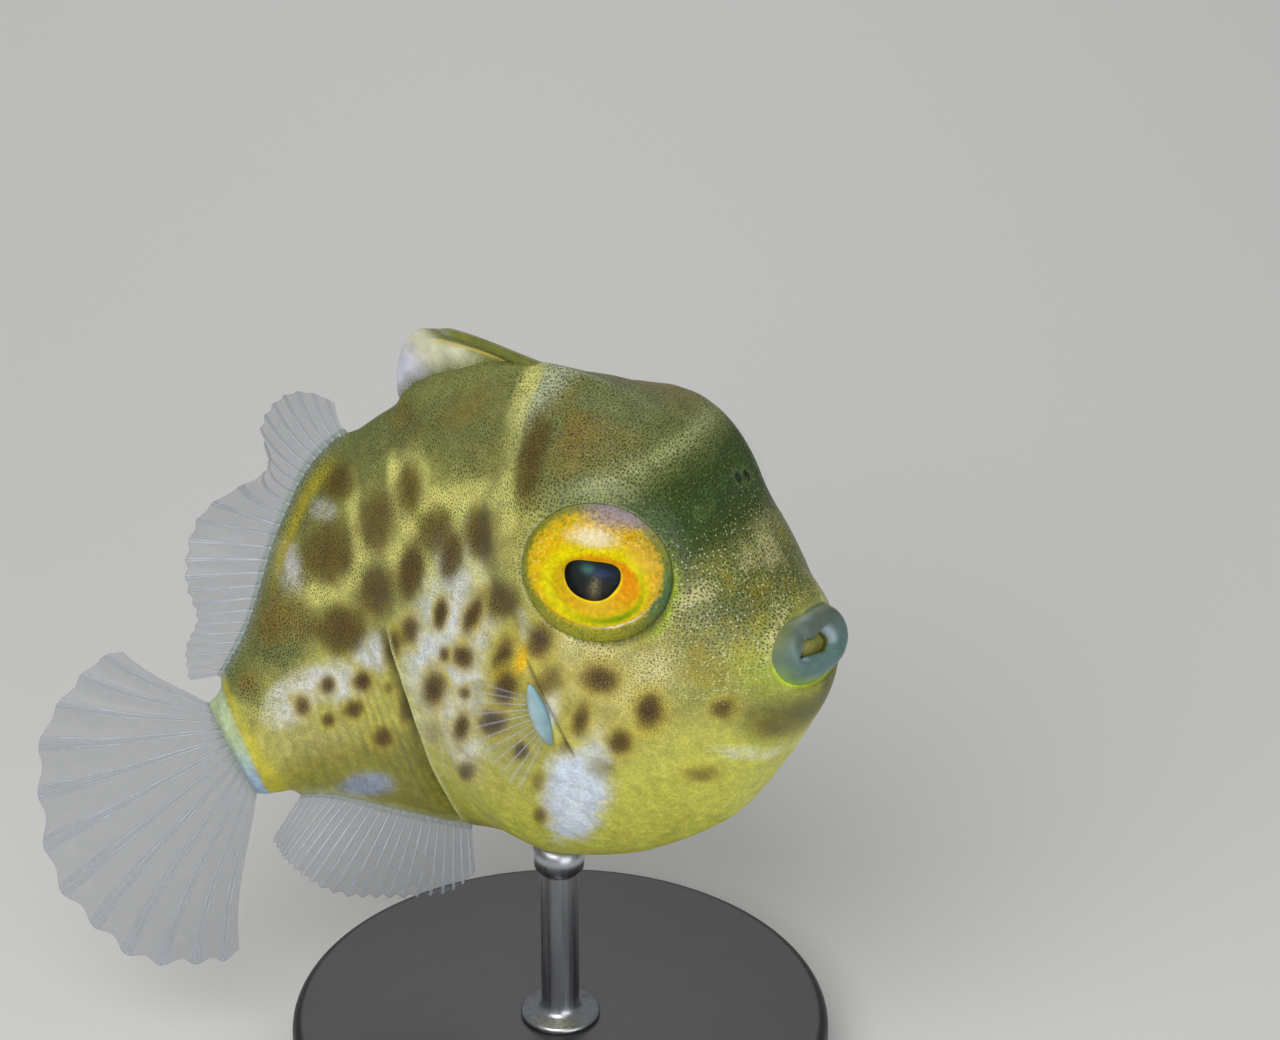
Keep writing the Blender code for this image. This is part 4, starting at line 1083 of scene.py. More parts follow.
def closed_sheet(name, grid, half, material, colours, values):
    """A thin closed sheet round a grid of middle points."""
    along = np.gradient(grid, axis=0)
    out = np.gradient(grid, axis=1)
    normal = np.cross(along, out)
    normal /= np.maximum(np.linalg.norm(normal, axis=-1, keepdims=True), 1e-9)
    columns, rows = grid.shape[:2]
    off = normal * half[..., None]
    points = np.concatenate([(grid + off).reshape(-1, 3), (grid - off).reshape(-1, 3)])
    i = np.arange(columns - 1)[:, None]
    j = np.arange(rows - 1)[None, :]
    a = i * rows + j
    b, c, d = a + rows, a + rows + 1, a + 1
    back = columns * rows
    top = [np.stack([a, b, c], -1).reshape(-1, 3), np.stack([a, c, d], -1).reshape(-1, 3)]
    low = [np.stack([a, c, b], -1).reshape(-1, 3) + back, np.stack([a, d, c], -1).reshape(-1, 3) + back]
    border = [(k, 0) for k in range(columns)]
    border += [(columns - 1, k) for k in range(1, rows)]
    border += [(k, rows - 1) for k in range(columns - 2, -1, -1)]
    border += [(0, k) for k in range(rows - 2, 0, -1)]
    rim = np.array([m * rows + n for m, n in border])
    after = np.roll(rim, -1)
    sides = [np.stack([rim, rim + back, after + back], -1), np.stack([rim, after + back, after], -1)]
    faces = np.concatenate(top + low + sides)
    paint = np.concatenate([colours.reshape(-1, 3)] * 2)
    doubled = {key: np.concatenate([value.ravel()] * 2) for key, value in values.items()}
    return make_mesh(name, placed(points), faces, material, paint, doubled)


def ray_ridges(share, out, rays, gaps, spread, line, second=0.0):
    """Ray lines and the web between a ray's lines, each 0 to 1.

    gaps are the spaces between rays at root and margin, spread how far apart a ray's two lines
    run, and second how far each forks again near the margin, in millimetres.
    """
    off = np.abs((share * rays) % 1.0 - 0.5) * (gaps[0] + (gaps[1] - gaps[0]) * out)
    first = spread[0] + (spread[1] - spread[0]) * out
    fork = second * np.clip((out - 0.5) / 0.5, 0, 1)
    width = line * (1.25 - 0.45 * out)
    lines = np.maximum(bell(off - first - fork, 0, width), bell(off - first + fork, 0, width))
    web = smooth(first + fork + width, first + fork - 0.3 * width, off)
    return lines, web


def scallop(share, rays, depth):
    return 1 - depth * (0.5 + 0.5 * np.cos(math.tau * share * rays))


def rooted(down, lift, sunk=0.18, part=0.06):
    """Splits a row's share into how far out it is and its lift off the skin, sunk at first."""
    out = np.clip((down - part) / (1 - part), 0, 1)
    return out, lift - (lift + sunk) * np.clip(1 - down / part, 0, 1)


FILM = srgb(0.44, 0.46, 0.52)
RAY = srgb(0.76, 0.78, 0.82)
MEMBRANE_HALF = 0.018
RAY_HALF = 0.030


def fin_looks(lines, web, out):
    """Colour, half thickness and solidity of a fin from its ray lines."""
    paint = np.zeros(lines.shape + (3,)) + FILM
    paint = mixed(paint, srgb(0.56, 0.59, 0.66), 0.7 * web)
    paint = mixed(paint, RAY, lines)
    half = MEMBRANE_HALF * (1.3 - 0.6 * out) + RAY_HALF * np.maximum(lines, 0.6 * web) * (1 - 0.6 * out)
    margin = smooth(0.975, 0.995, out)
    solid = 0.20 + 0.10 * web + 0.46 * lines + 0.10 * margin
    return mixed(paint, RAY, 0.35 * margin), half, solid


def median_fin(name, node, side, span, rays, shape, material):
    def middle(share, down):
        height, lean, swing = np.moveaxis(spline(shape, share * (len(shape) - 1)), -1, 0)
        point, tangent, normal = edge(span[0] + (span[1] - span[0]) * share, side)
        lean = np.radians(lean)[..., None]
        ray = normal * np.cos(lean) + tangent * np.sin(lean)
        out, lift = rooted(down, FIN_LIFT)
        reach = height * scallop(share, rays, 0.035) * out
        turn = np.radians(swing) * out**0.5
        place = point + normal * lift[..., None] + ray * (reach * np.cos(turn))[..., None]
        pleat = 0.020 * np.cos(math.tau * share * rays) * out
        return np.stack([place[..., 0], reach * np.sin(turn) + pleat, place[..., 1]], -1)

    grid, share, down = fin_grid(middle, rays, 14, 52)
    lines, web = ray_ridges(share, down, rays, (0.33, 0.50), (0.0, 0.035), 0.022)
    paint, half, solid = fin_looks(lines, web, down)
    root = smooth(0.13, 0.05, down)
    paint = mixed(paint, srgb(0.60, 0.66, 0.62), root)
    made = closed_sheet(name, grid, half + 0.08 * root, material, paint, {"solid": solid + 0.40 * root})
    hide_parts(node)
    return made


def tail_fin(material):
    end = SECTIONS[-1]

    def middle(share, down):
        out, lift = rooted(down, FIN_LIFT, sunk=0.3, part=0.05)
        below = np.maximum(CAUDAL_LONGEST - share, 0) / CAUDAL_LONGEST
        above = np.maximum(share - CAUDAL_LONGEST, 0) / (1 - CAUDAL_LONGEST)
        length = CAUDAL_LENGTH * (1 - 0.26 * below**2 - 0.55 * above**1.6)
        angle = CAUDAL_LOW_ANGLE + (CAUDAL_TOP_ANGLE - CAUDAL_LOW_ANGLE) * share
        angle = angle - CAUDAL_SAG * np.sin(math.pi * np.minimum(share / 0.75, 1.0))
        root_z = end[3] + CAUDAL_ROOT_INSET + (end[1] - end[3] - 2 * CAUDAL_ROOT_INSET) * share
        root_s = end[2] + (end[0] - end[2]) * share + lift
        lobes = scallop(share, CAUDAL_RAYS, 0.030) * (1 + 0.012 * np.sin(math.tau * share * 4.3 + 1))
        reach = length * lobes * out
        bow = 0.06 * np.sin(math.pi * out) * np.cos(math.pi * share)
        swing = 0.35 * out**1.4 * np.sin(math.tau * 1.3 * share + 0.4)
        swing = swing + 0.03 * np.cos(math.tau * share * CAUDAL_RAYS) * out
        back, rise = reach * np.cos(angle + bow), reach * np.sin(angle + bow)
        return np.stack([root_s + back, swing, root_z + rise], -1)

    grid, share, down = fin_grid(middle, CAUDAL_RAYS, 34, 100)
    lines, web = ray_ridges(share, down, CAUDAL_RAYS, (0.26, 1.25), (0.02, 0.13), 0.019, 0.05)
    beads = 0.5 + 0.5 * np.cos(math.tau * down * 30 + 2 * np.floor(share * CAUDAL_RAYS))
    paint, half, solid = fin_looks(lines, web, down)
    paint = mixed(paint, srgb(0.60, 0.61, 0.60), 0.45 * lines * beads)
    root = smooth(0.13, 0.02, down)
    paint = mixed(paint, srgb(0.62, 0.70, 0.66), root)
    values = {"solid": solid + 0.45 * root}
    made = closed_sheet("tail_fin_film", grid, half + 0.16 * root, material, paint, values)
    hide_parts("caudal_fin")
    return made


def spine_fin(materials):
    """The folded first dorsal spine and the film behind it."""
    root, tip = np.array(SPINE_ROOT), np.array(SPINE_TIP)
    rear = np.array(SPINE_FILM_EDGE)
    tip_share = 0.58

    def middle(share, down):
        point, _, normal = edge(SPINE_HINGE + (SPINE_MEMBRANE_END - SPINE_HINGE) * share, 1)
        low = point - 0.30 * normal
        front = spine_line(root, tip, np.clip(share / tip_share, 0, 1))
        back = spline(rear, np.clip((share - tip_share) / (1 - tip_share), 0, 1) * (len(rear) - 1))
        top = np.where(share[..., None] <= tip_share, front, back)
        place = low + (top - low) * down[..., None]
        wave = 0.06 * np.sin(share * 17 + down * 2) * np.sin(math.pi * down)
        return np.stack([place[..., 0], wave, place[..., 1]], -1)

    grid, share, down = fin_grid(middle, 1, 180, 64)
    tall = np.linalg.norm(grid[:, -1] - grid[:, 0], axis=-1)[:, None]
    under, over = (1 - down) * tall, down * tall
    cloud = clouds(grid, 0.9, 0)
    fleck = clouds(grid, 0.3, 2)
    coat = Coats(grid, 0.80, 0.80, 0.90)
    coat(0.89, 0.89, 0.76, smooth(0.86, 0.66, share + 0.06 * cloud))
    front = smooth(0.62, 0.40, share + 0.12 * cloud)
    coat(0.64, 0.65, 0.32, front * 0.95)
    foot = smooth(1.45, 0.55, over + 0.25 * cloud)
    coat(0.47, 0.50, 0.27, foot * (0.90 - 0.25 * smooth(0.80, 1.0, share)))
    blade = smooth(0.42, 0.32, under) * smooth(0.66, 0.56, share)
    coat(0.43, 0.45, 0.19, blade * 0.95)
    band = bell(under, 0.45, 0.06) * smooth(0.66, 0.58, share) * smooth(0.9, 1.3, tall)
    coat(0.88, 0.76, 0.24, 0.80 * band)
    coat.shade(0.82, smooth(0.0, 0.6, fleck) * 0.5)
    flare = smooth(1.15, 0.0, over) ** 2
    sheath = bell(under, 0, 0.22) * smooth(0.62, 0.54, share)
    merged = smooth(0.05, 0.9, tall) * (1 - down**3) * smooth(1.0, 0.88, share)
    half = 0.03 + 0.42 * flare * merged + 0.06 * sheath
    solid = 0.86 + 0.12 * front + 0.14 * foot + 0.08 * cloud
    dots = np.maximum(0.75 * foot, 0.45 * front * smooth(0.2, 0.5, under))
    values = {"solid": np.clip(solid, 0.6, 1), "dots": dots}
    made = closed_sheet("spine_film", grid, half, materials["membrane"], coat.seen, values)
    return [made, first_spine(root, tip, materials["spine"])]


def spine_line(root, tip, t):
    """Points of the spine's middle line, a little bowed up near its tip."""
    along = (tip - root) / np.linalg.norm(tip - root)
    rise = 0.11 * np.sin(math.pi * t**2.2)
    return root + (tip - root) * t[..., None] + np.array([-along[1], along[0]]) * rise[..., None]


def first_spine(root, tip, material):
    """A tapered rod with a few low prickles, its root sunk in the skin."""
    rows, around = 160, 40
    t = np.linspace(0, 1, rows)[:, None]
    roll = (math.tau * np.arange(around) / around)[None, :]
    along = (tip - root) / np.linalg.norm(tip - root)
    across = np.array([-along[1], along[0]])
    radius = (0.21 - 0.08 * t) * (1 - smooth(0.90, 1.0, t) * 0.80)
    radius = radius * (0.3 + 0.7 * smooth(0, 0.14, t)) + 0 * roll
    teeth = np.maximum(np.sin(t * 120 + 1.5 * np.sin(roll * 2)), 0) ** 3 * np.abs(np.sin(roll)) ** 4
    radius = radius + 0.012 * teeth * smooth(0.1, 0.3, t) * smooth(1.0, 0.93, t)
    centre = spine_line(root, tip, t[:, 0])
    point = centre[:, None, :] + (np.cos(roll) * radius)[..., None] * across
    grid = np.stack([point[..., 0], np.sin(roll) * radius, point[..., 1]], -1)
    mottle = clouds(grid, 0.5, 1)
    coat = Coats(grid, 0.44, 0.46, 0.18)
    coat(0.36, 0.38, 0.17, smooth(0.0, 0.5, mottle) * 0.6)
    coat(0.58, 0.56, 0.26, smooth(0.0, -0.5, mottle) * 0.5)
    coat(0.64, 0.68, 0.60, smooth(0.84, 1.0, t + 0 * roll) * 0.8)
    # The tip's end point stands out a little from its ring
    ends = [grid[0].mean(0), grid[-1].mean(0) + np.array([along[0], 0, along[1]]) * 0.02]
    points = np.concatenate([grid.reshape(-1, 3), ends])
    colours = np.concatenate([coat.seen.reshape(-1, 3), coat.seen[[0, -1], 0]])
    made = make_mesh("first_dorsal_spine", placed(points), tube_faces(rows, around), material, colours)
    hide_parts("dorsal_spine")
    return made


def pectoral(side, word, materials):
    """A pale fleshy lobe with a clear round fan behind it."""
    rows, around = 60, 48
    t = np.linspace(0, 1, rows)[:, None]
    roll = (math.tau * np.arange(around) / around)[None, :]
    reach = np.sin(math.pi * t) ** 0.6
    z = PECTORAL_UP + 1.08 * (0.5 - t) * 2 + 0 * roll
    lean = -0.22 * (z - PECTORAL_UP)
    s = PECTORAL_BEHIND_LIPS + 0.02 + lean + 0.30 * reach * np.cos(roll)
    off = flank_width(PECTORAL_BEHIND_LIPS + lean, z) + 0.06 + 0.26 * reach * np.sin(roll)
    grid = np.stack([s, side * off, z], -1)
    coat = Coats(grid, 0.56, 0.70, 0.74)
    coat(0.72, 0.80, 0.80, smooth(0.2, 0.9, np.sin(roll + 0.6) + 0 * t) * 0.6)
    coat(0.45, 0.52, 0.40, smooth(0.72, 1.0, t + 0 * roll) * 0.5)
    base = tube(f"{word}_pectoral_base", grid, materials["flesh"], coat.seen)

    def middle(share, down):
        angle = PECTORAL_FAN * (share - 0.5)
        root_z = PECTORAL_UP + 1.6 * (share - 0.5)
        root_s = PECTORAL_BEHIND_LIPS + 0.10 - 0.25 * (share - 0.5)
        width = flank_width(root_s, root_z)
        length = PECTORAL_LENGTH * (0.8 + 0.2 * np.sin(math.pi * share))
        reach = length * scallop(share, PECTORAL_RAYS, 0.06) * down
        off = width + 0.16 + reach * math.sin(PECTORAL_SPREAD) + 0.05 * np.sin(share * 14) * down
        back = reach * np.cos(angle) * math.cos(PECTORAL_SPREAD)
        return np.stack([root_s + back, side * off, root_z + reach * np.sin(angle)], -1)

    grid, share, down = fin_grid(middle, PECTORAL_RAYS, 14, 44)
    lines, web = ray_ridges(share, down, PECTORAL_RAYS, (0.15, 0.32), (0.0, 0.02), 0.013)
    paint, half, solid = fin_looks(lines, web, down)
    values = {"solid": solid * 0.34}
    fan = closed_sheet(f"{word}_pectoral_fan", grid, half * 0.7, materials["fin"], paint, values)
    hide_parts(f"pectoral_fin_{word}")
    return [base, fan]


# Stand
def build_base(material):
    """The round base, its top edge rounded, at the size of the solid one."""
    low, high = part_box("stand_base")
    radius, top = (high.x - low.x) / 2, high.z
    bevel = 0.35 * MM
    turn = np.linspace(0, math.pi / 2, 9)
    profile = [(0.0, radius - 0.12 * MM), (0.10 * MM, radius)]
    profile += [(top - bevel + bevel * math.sin(a), radius - bevel + bevel * math.cos(a)) for a in turn]
    around = 256
    roll = math.tau * np.arange(around) / around
    rings = [np.stack([r * np.cos(roll), r * np.sin(roll), h + 0 * roll], -1) for h, r in profile]
    grid = np.array(rings) + np.array([(low.x + high.x) / 2, (low.y + high.y) / 2, 0.0])
    base = tube("round_base", grid, material, place=np.asarray)
    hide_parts("stand_base")
    return base


ROD_SUNK = 0.02
CUP_SUNK = 0.30
CUP_SLOPE = -0.10


def build_rod(material):
    """The rod with a small foot flange and a cup that meets the belly."""
    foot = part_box("stand_base")[1].z / MM - ROD_SUNK
    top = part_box("stand_rod")[1].z / MM + CUP_SUNK
    profile = (
        (foot, 1.25), (foot + 0.14, 1.25), (foot + 0.22, 1.18), (foot + 0.26, 0.74),
        (foot + 0.40, 0.62), (foot + 0.60, 0.60), (top - 1.15, 0.60), (top - 1.00, 0.62),
        (top - 0.92, 0.78), (top - 0.55, 0.80), (top, 0.84),
    )
    around = 64
    roll = math.tau * np.arange(around) / around
    rings = []
    for height, radius in profile:
        share = smooth(top - 1.2, top, np.array(height))
        x, y = radius * np.cos(roll), radius * np.sin(roll)
        rings.append(np.stack([x, y, height + share * CUP_SLOPE * x], -1))
    rod = tube("rod_with_cup", np.array(rings), material, place=lambda points: points * MM)
    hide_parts("stand_rod")
    return rod


# Materials
def new_material(name):
    made = bpy.data.materials.new(name)
    made.use_nodes = True
    tree = made.node_tree
    shader = tree.nodes["Principled BSDF"]
    return made, tree, shader


def node(tree, kind, inputs=None, **settings):
    made = tree.nodes.new(kind)
    for key, value in settings.items():
        setattr(made, key, value)
    for key, value in (inputs or {}).items():
        if isinstance(value, bpy.types.NodeSocket):
            tree.links.new(value, made.inputs[key])
        else:
            made.inputs[key].default_value = value
    return made


def attribute(tree, name, output="Fac"):
    return node(tree, "ShaderNodeAttribute", attribute_name=name).outputs[output]


def noise(tree, place, scale, detail, **inputs):
    found = node(tree, "ShaderNodeTexNoise", {"Vector": place, "Scale": scale, "Detail": detail, **inputs})
    return found.outputs[0]


def spread(tree, value, low, high):
    """The middle of a noise's range, spread over low to high."""
    ends = {"From Min": 0.3, "From Max": 0.7, "To Min": low, "To Max": high}
    return node(tree, "ShaderNodeMapRange", {"Value": value, **ends}).outputs[0]


def bumped(tree, height, strength, distance, invert=False, **inputs):
    inputs = {"Height": height, "Strength": strength, "Distance": distance, **inputs}
    return node(tree, "ShaderNodeBump", inputs, invert=invert).outputs[0]


def new_painted(name):
    """A new material with its tree, shader, place on the object and painted colour: pigment, with painted
    shade and highlights on some pieces.
    """
    made, tree, shader = new_material(name)
    place = node(tree, "ShaderNodeTexCoord").outputs["Object"]
    return made, tree, shader, place, attribute(tree, "pigment", "Color")


def maths(tree, operation, a, b, clamp=False):
    return node(tree, "ShaderNodeMath", {0: a, 1: b}, operation=operation, use_clamp=clamp).outputs[0]


def blend_colour(tree, factor, a, b, kind="MIX"):
    made = node(tree, "ShaderNodeMix", data_type="RGBA", blend_type=kind)
    for key, value in ((0, factor), (6, a), (7, b)):
        if isinstance(value, bpy.types.NodeSocket):
            tree.links.new(value, made.inputs[key])
        else:
            made.inputs[key].default_value = value
    return made.outputs[2]


CELLS_PER_METRE = 10200.0


def rgba(*colour):
    return (*srgb(*colour), 1.0)


def dark_cells(tree, place, colour, density, chart=1.0):
    """Small dark pigment cells over a colour, wider and blacker where density is high.

    The cells lie evenly in a plane: chart 0 looks along x, 1 along y and 2 along z.
    """
    axes = node(tree, "ShaderNodeSeparateXYZ", {0: place}).outputs
    distance = None
    for number, (a, b) in enumerate(((1, 2), (0, 2), (0, 1))):
        flat = node(tree, "ShaderNodeCombineXYZ", {0: axes[a], 1: axes[b]}).outputs[0]
        cells = node(
            tree,
            "ShaderNodeTexVoronoi",
            {"Vector": flat, "Scale": CELLS_PER_METRE, "Randomness": 0.72},
            voronoi_dimensions="2D",
        ).outputs["Distance"]
        if distance is None:
            distance = cells
        else:
            beyond = maths(tree, "GREATER_THAN", chart, number - 0.5)
            ends = {0: beyond, 2: distance, 3: cells}
            distance = node(tree, "ShaderNodeMix", ends, data_type="FLOAT").outputs[0]
    size = maths(tree, "ADD", maths(tree, "MULTIPLY", density, 0.17), 0.19)
    uneven = noise(tree, place, 5200.0, 1.0)
    size = maths(tree, "MULTIPLY", size, maths(tree, "ADD", uneven, 0.5))
    dot = maths(tree, "MULTIPLY", maths(tree, "SUBTRACT", size, distance), 7.0, clamp=True)
    share = maths(tree, "ADD", density, 0.10, clamp=True)
    share = maths(tree, "MULTIPLY", share, maths(tree, "MULTIPLY", density, 12.0, clamp=True))
    dot = maths(tree, "MULTIPLY", dot, maths(tree, "MULTIPLY", share, 0.80))
    return blend_colour(tree, dot, colour, rgba(0.13, 0.14, 0.05))


def skin_material():
    """Painted pigment and painted shade, with fine dark cells, pale specks, a grain of prickles and a damp
    coat.
    """
    made, tree, shader, place, pigment = new_painted("fish_skin")
    density = attribute(tree, "dots")
    speck = attribute(tree, "specks")

    fine = noise(tree, place, 2600.0, 3.0, Roughness=0.6)
    shade = spread(tree, fine, 0.80, 1.16)
    toned = blend_colour(tree, 1.0, pigment, shade, "MULTIPLY")

    grain = noise(tree, place, 8500.0, 2.0)
    sand = spread(tree, grain, 0.86, 1.12)
    toned = blend_colour(tree, 1.0, toned, sand, "MULTIPLY")
    dotted = dark_cells(tree, place, toned, density, attribute(tree, "chart"))

    flecks = node(tree, "ShaderNodeTexVoronoi", {"Vector": place, "Scale": 7600.0, "Randomness": 0.9})
    light = maths(tree, "SUBTRACT", 0.25, flecks.outputs["Distance"])
    light = maths(tree, "MULTIPLY", light, 10.0, clamp=True)
    light = maths(tree, "MULTIPLY", light, maths(tree, "MULTIPLY", speck, 0.75))
    flecked = blend_colour(tree, light, dotted, rgba(0.86, 0.88, 0.74))
    tree.links.new(flecked, shader.inputs["Base Color"])

    prickle = node(tree, "ShaderNodeTexVoronoi", {"Vector": place, "Scale": 9500.0, "Randomness": 0.9})
    prickles = bumped(tree, prickle.outputs["Distance"], 0.35, 0.00002, invert=True)
    rough = bumped(tree, fine, 0.30, 0.00003, Normal=prickles)
    tree.links.new(rough, shader.inputs["Normal"])
    gloss = spread(tree, fine, 0.40, 0.56)
    tree.links.new(gloss, shader.inputs["Roughness"])
    shader.inputs["Subsurface Weight"].default_value = 0.18
    shader.inputs["Subsurface Radius"].default_value = (1.0, 0.7, 0.3)
    shader.inputs["Subsurface Scale"].default_value = 0.00035
    shader.inputs["Specular IOR Level"].default_value = 0.35
    shader.inputs["Coat Weight"].default_value = 0.10
    shader.inputs["Coat Roughness"].default_value = 0.25
    return made


def flesh_material(name, roughness, subsurface):
    """Smooth tinted flesh: lips, the fleshy fin bases and the spine."""
    made, tree, shader, place, pigment = new_painted(name)
    fine = noise(tree, place, 2200.0, 3.0)
    shade = spread(tree, fine, 0.86, 1.12)
    toned = blend_colour(tree, 1.0, pigment, shade, "MULTIPLY")
    tree.links.new(toned, shader.inputs["Base Color"])
    tree.links.new(bumped(tree, fine, 0.25, 0.00002), shader.inputs["Normal"])
    shader.inputs["Roughness"].default_value = roughness
    shader.inputs["Subsurface Weight"].default_value = subsurface
    shader.inputs["Subsurface Radius"].default_value = (0.8, 0.9, 1.0)
    shader.inputs["Subsurface Scale"].default_value = 0.0003
    shader.inputs["Specular IOR Level"].default_value = 0.3
    shader.inputs["Coat Weight"].default_value = 0.12
    shader.inputs["Coat Roughness"].default_value = 0.22
    return made


def film_material(name, freckled=False):
    """Clear fin film, solid where its attribute says so."""
    made, tree, shader, place, pigment = new_painted(name)
    solid = attribute(tree, "solid")
    fine = noise(tree, place, 1500.0, 4.0)
    shade = spread(tree, fine, 0.85, 1.10)
    toned = blend_colour(tree, 1.0, pigment, shade, "MULTIPLY")
    if freckled:
        toned = dark_cells(tree, place, toned, attribute(tree, "dots"))
    tree.links.new(toned, shader.inputs["Base Color"])
    uneven = maths(tree, "ADD", maths(tree, "MULTIPLY", fine, 0.5), 0.75)
    alpha = maths(tree, "MULTIPLY", solid, uneven, clamp=True)
    tree.links.new(alpha, shader.inputs["Alpha"])
    shader.inputs["Roughness"].default_value = 0.28
    tree.links.new(bumped(tree, fine, 0.15, 0.00002), shader.inputs["Normal"])
    return made


def iris_material():
    made, tree, shader, place, pigment = new_painted("iris")
    fine = noise(tree, place, 6000.0, 3.0)
    shade = spread(tree, fine, 0.88, 1.12)
    tree.links.new(blend_colour(tree, 1.0, pigment, shade, "MULTIPLY"), shader.inputs["Base Color"])
    tree.links.new(bumped(tree, fine, 0.2, 0.00001), shader.inputs["Normal"])
    shader.inputs["Roughness"].default_value = 0.50
    shader.inputs["Specular IOR Level"].default_value = 0.08
    return made


def lens_material():
    made, tree, shader, place, pigment = new_painted("pupil_lens")
    fine = noise(tree, place, 9000.0, 2.0)
    shade = spread(tree, fine, 0.80, 1.2)
    toned = blend_colour(tree, 1.0, pigment, shade, "MULTIPLY")
    tree.links.new(toned, shader.inputs["Base Color"])
    shader.inputs["Roughness"].default_value = 0.35
    shader.inputs["Specular IOR Level"].default_value = 0.2
    return made


def cornea_material():
    """Clear skin over the eye: light passes straight, and what it mirrors grows at the edge."""
    made, tree, shader = new_material("cornea")
    tree.nodes.remove(shader)
    clear = node(tree, "ShaderNodeBsdfTransparent")
    mirror = node(tree, "ShaderNodeBsdfGlossy", {"Roughness": 0.03})
    fresnel = node(tree, "ShaderNodeFresnel", {"IOR": 1.36})
    share = maths(tree, "MINIMUM", maths(tree, "MULTIPLY", fresnel.outputs[0], 0.35), 0.06)
    mix = node(tree, "ShaderNodeMixShader", {0: share, 1: clear.outputs[0], 2: mirror.outputs[0]})
    tree.links.new(mix.outputs[0], tree.nodes["Material Output"].inputs["Surface"])
    return made


def base_material():
    made, tree, shader = new_material("satin_black")
    place = node(tree, "ShaderNodeTexCoord").outputs["Object"]
    fine = noise(tree, place, 900.0, 4.0)
    shade = blend_colour(tree, fine, rgba(0.11, 0.11, 0.12), rgba(0.16, 0.16, 0.17))
    tree.links.new(shade, shader.inputs["Base Color"])
    tree.links.new(bumped(tree, fine, 0.12, 0.00003), shader.inputs["Normal"])
    shader.inputs["Roughness"].default_value = 0.42
    return made


def rod_material():
    made, tree, shader = new_material("brushed_rod")
    place = node(tree, "ShaderNodeTexCoord").outputs["Object"]
    stretched = node(tree, "ShaderNodeMapping", {"Vector": place, "Scale": (9000.0, 9000.0, 300.0)})
    fine = noise(tree, stretched.outputs[0], 1.0, 3.0)
    rough = spread(tree, fine, 0.26, 0.42)
    tree.links.new(rough, shader.inputs["Roughness"])
    shader.inputs["Base Color"].default_value = rgba(0.72, 0.73, 0.75)
    shader.inputs["Metallic"].default_value = 1.0
    return made


def floor_material():
    made, tree, shader = new_material("pale_floor")
    shader.inputs["Base Color"].default_value = rgba(0.90, 0.90, 0.89)
    shader.inputs["Roughness"].default_value = 0.75
    shader.inputs["Specular IOR Level"].default_value = 0.1
    return made


# Stage, light and camera
def view_axes():
    a, e = VIEW_AZIMUTH, VIEW_ELEVATION
    back = np.array([math.sin(a) * math.cos(e), -math.cos(a) * math.cos(e), math.sin(e)])
    right = np.array([math.cos(a), math.sin(a), 0.0])
    return right, np.cross(back, right), back


def aim(made, position, right, up, back):
    rows = [[right[k], up[k], back[k], position[k]] for k in range(3)]
    made.matrix_world = Matrix(rows + [[0, 0, 0, 1]])


def build_camera():
    right, up, back = view_axes()
    focal = LENS / SENSOR * IMAGE_SIZE[0]
    across = (LIPS_PIXEL[0] - IMAGE_SIZE[0] / 2) / focal
    above = (IMAGE_SIZE[1] / 2 - LIPS_PIXEL[1]) / focal
    position = (ORIGIN + VIEW_DISTANCE * (back - across * right - above * up)) * MM
    data = bpy.data.cameras.new("camera")
    data.lens = LENS
    data.sensor_width = SENSOR
    data.sensor_fit = "HORIZONTAL"
    data.clip_start, data.clip_end = 0.005, 5.0
    camera = bpy.data.objects.new("camera", data)
    bpy.context.scene.collection.objects.link(camera)
    aim(camera, position, right, up, back)
    bpy.context.scene.camera = camera


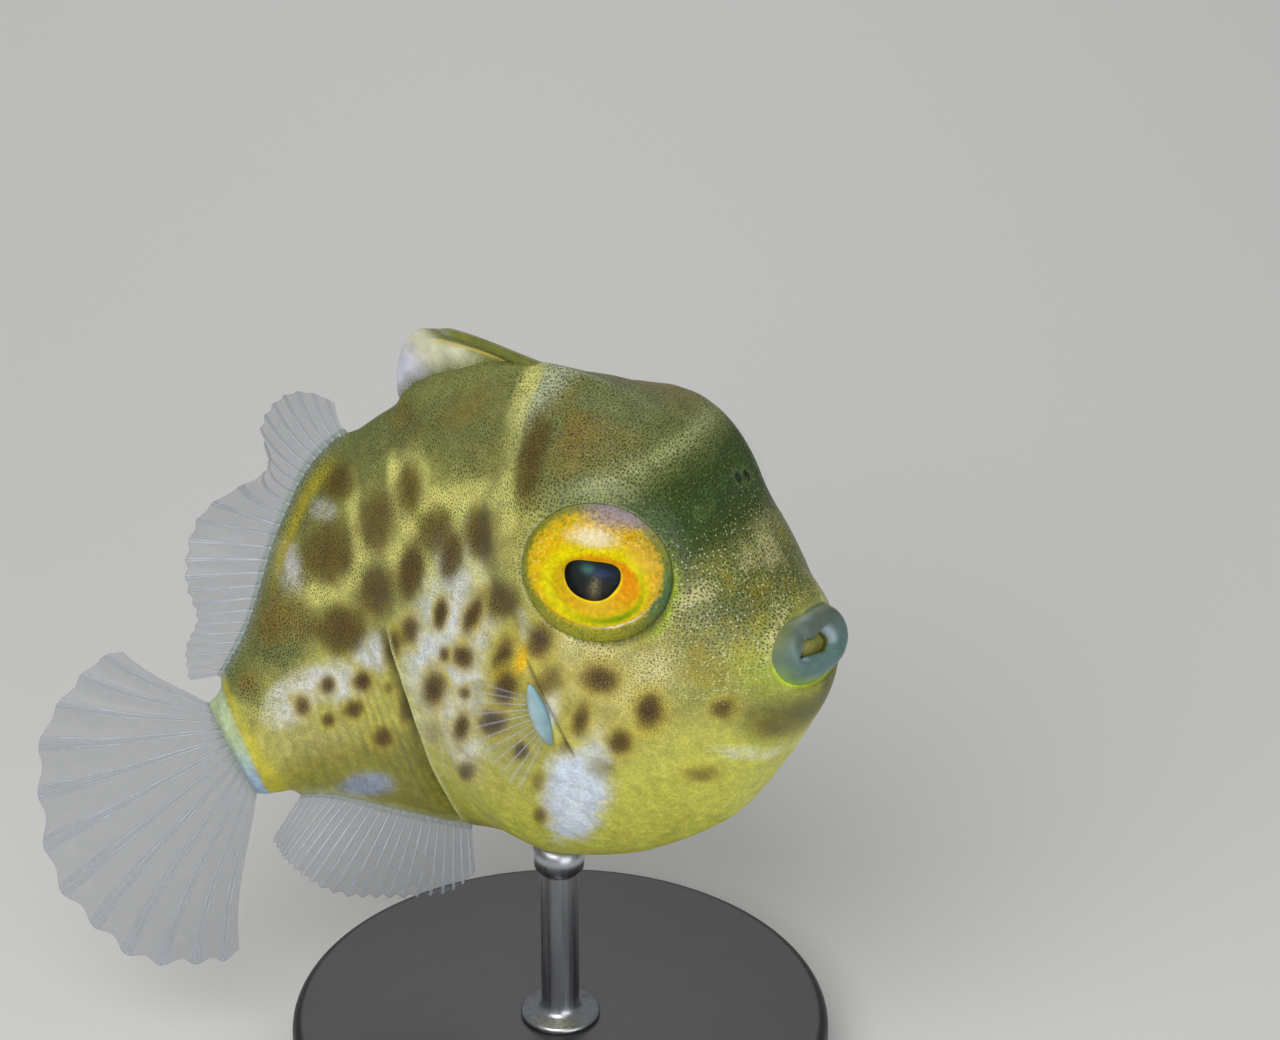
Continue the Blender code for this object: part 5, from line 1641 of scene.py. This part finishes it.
def area_light(name, azimuth, elevation, distance, size, power, colour=(1.0, 1.0, 1.0)):
    a, e = math.radians(azimuth), math.radians(elevation)
    back = np.array([math.sin(a) * math.cos(e), -math.cos(a) * math.cos(e), math.sin(e)])
    right = np.array([math.cos(a), math.sin(a), 0.0])
    target = np.array([0.0, 0.0, 14.0])
    data = bpy.data.lights.new(name, "AREA")
    data.shape = "DISK"
    data.size = size * MM
    data.energy = power
    data.color = colour
    light = bpy.data.objects.new(name, data)
    bpy.context.scene.collection.objects.link(light)
    aim(light, (target + back * distance) * MM, right, np.cross(back, right), back)


def build_stage():
    bpy.ops.mesh.primitive_plane_add(size=6.0, location=(0, 0, 0))
    floor = bpy.context.object
    floor.name = "floor"
    floor.data.materials.append(floor_material())
    world = bpy.data.worlds.new("studio")
    world.use_nodes = True
    world.node_tree.nodes["Background"].inputs[0].default_value = rgba(0.90, 0.91, 0.92)
    world.node_tree.nodes["Background"].inputs[1].default_value = 0.25
    bpy.context.scene.world = world
    area_light("key", 12, 46, 150, 120, 0.145, (1.0, 0.985, 0.96))
    area_light("fill", 62, 10, 170, 130, 0.085, (0.97, 0.98, 1.0))
    area_light("rim", 215, 38, 160, 110, 0.056)
    bpy.context.scene.view_settings.view_transform = "Standard"


def main():
    skin = skin_material()
    fin = film_material("fin_film")
    flesh = flesh_material("fin_flesh", 0.36, 0.25)
    membrane = film_material("spine_film", freckled=True)
    eye = {"iris": iris_material(), "lens": lens_material(), "cornea": cornea_material()}
    pieces = [build_skin(skin), build_lips(flesh_material("lip_flesh", 0.45, 0.35))]
    for side, word in ((1, "left"), (-1, "right")):
        pieces += build_eye(side, word, eye)
        pieces += pectoral(side, word, {"flesh": flesh, "fin": fin})
    pieces += spine_fin({"membrane": membrane, "spine": flesh_material("spine_flesh", 0.42, 0.1)})
    fins = (
        ("soft_dorsal_film", "dorsal_fin", 1, DORSAL_SPAN, DORSAL_RAYS, DORSAL_SHAPE),
        ("anal_film", "anal_fin", -1, ANAL_SPAN, ANAL_RAYS, ANAL_SHAPE),
    )
    pieces += [median_fin(*each, fin) for each in fins]
    pieces.append(tail_fin(fin))
    pieces.append(build_rod(rod_material()))
    pieces.append(build_base(base_material()))
    for piece in pieces:
        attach(piece, "root")
    build_stage()
    build_camera()


main()
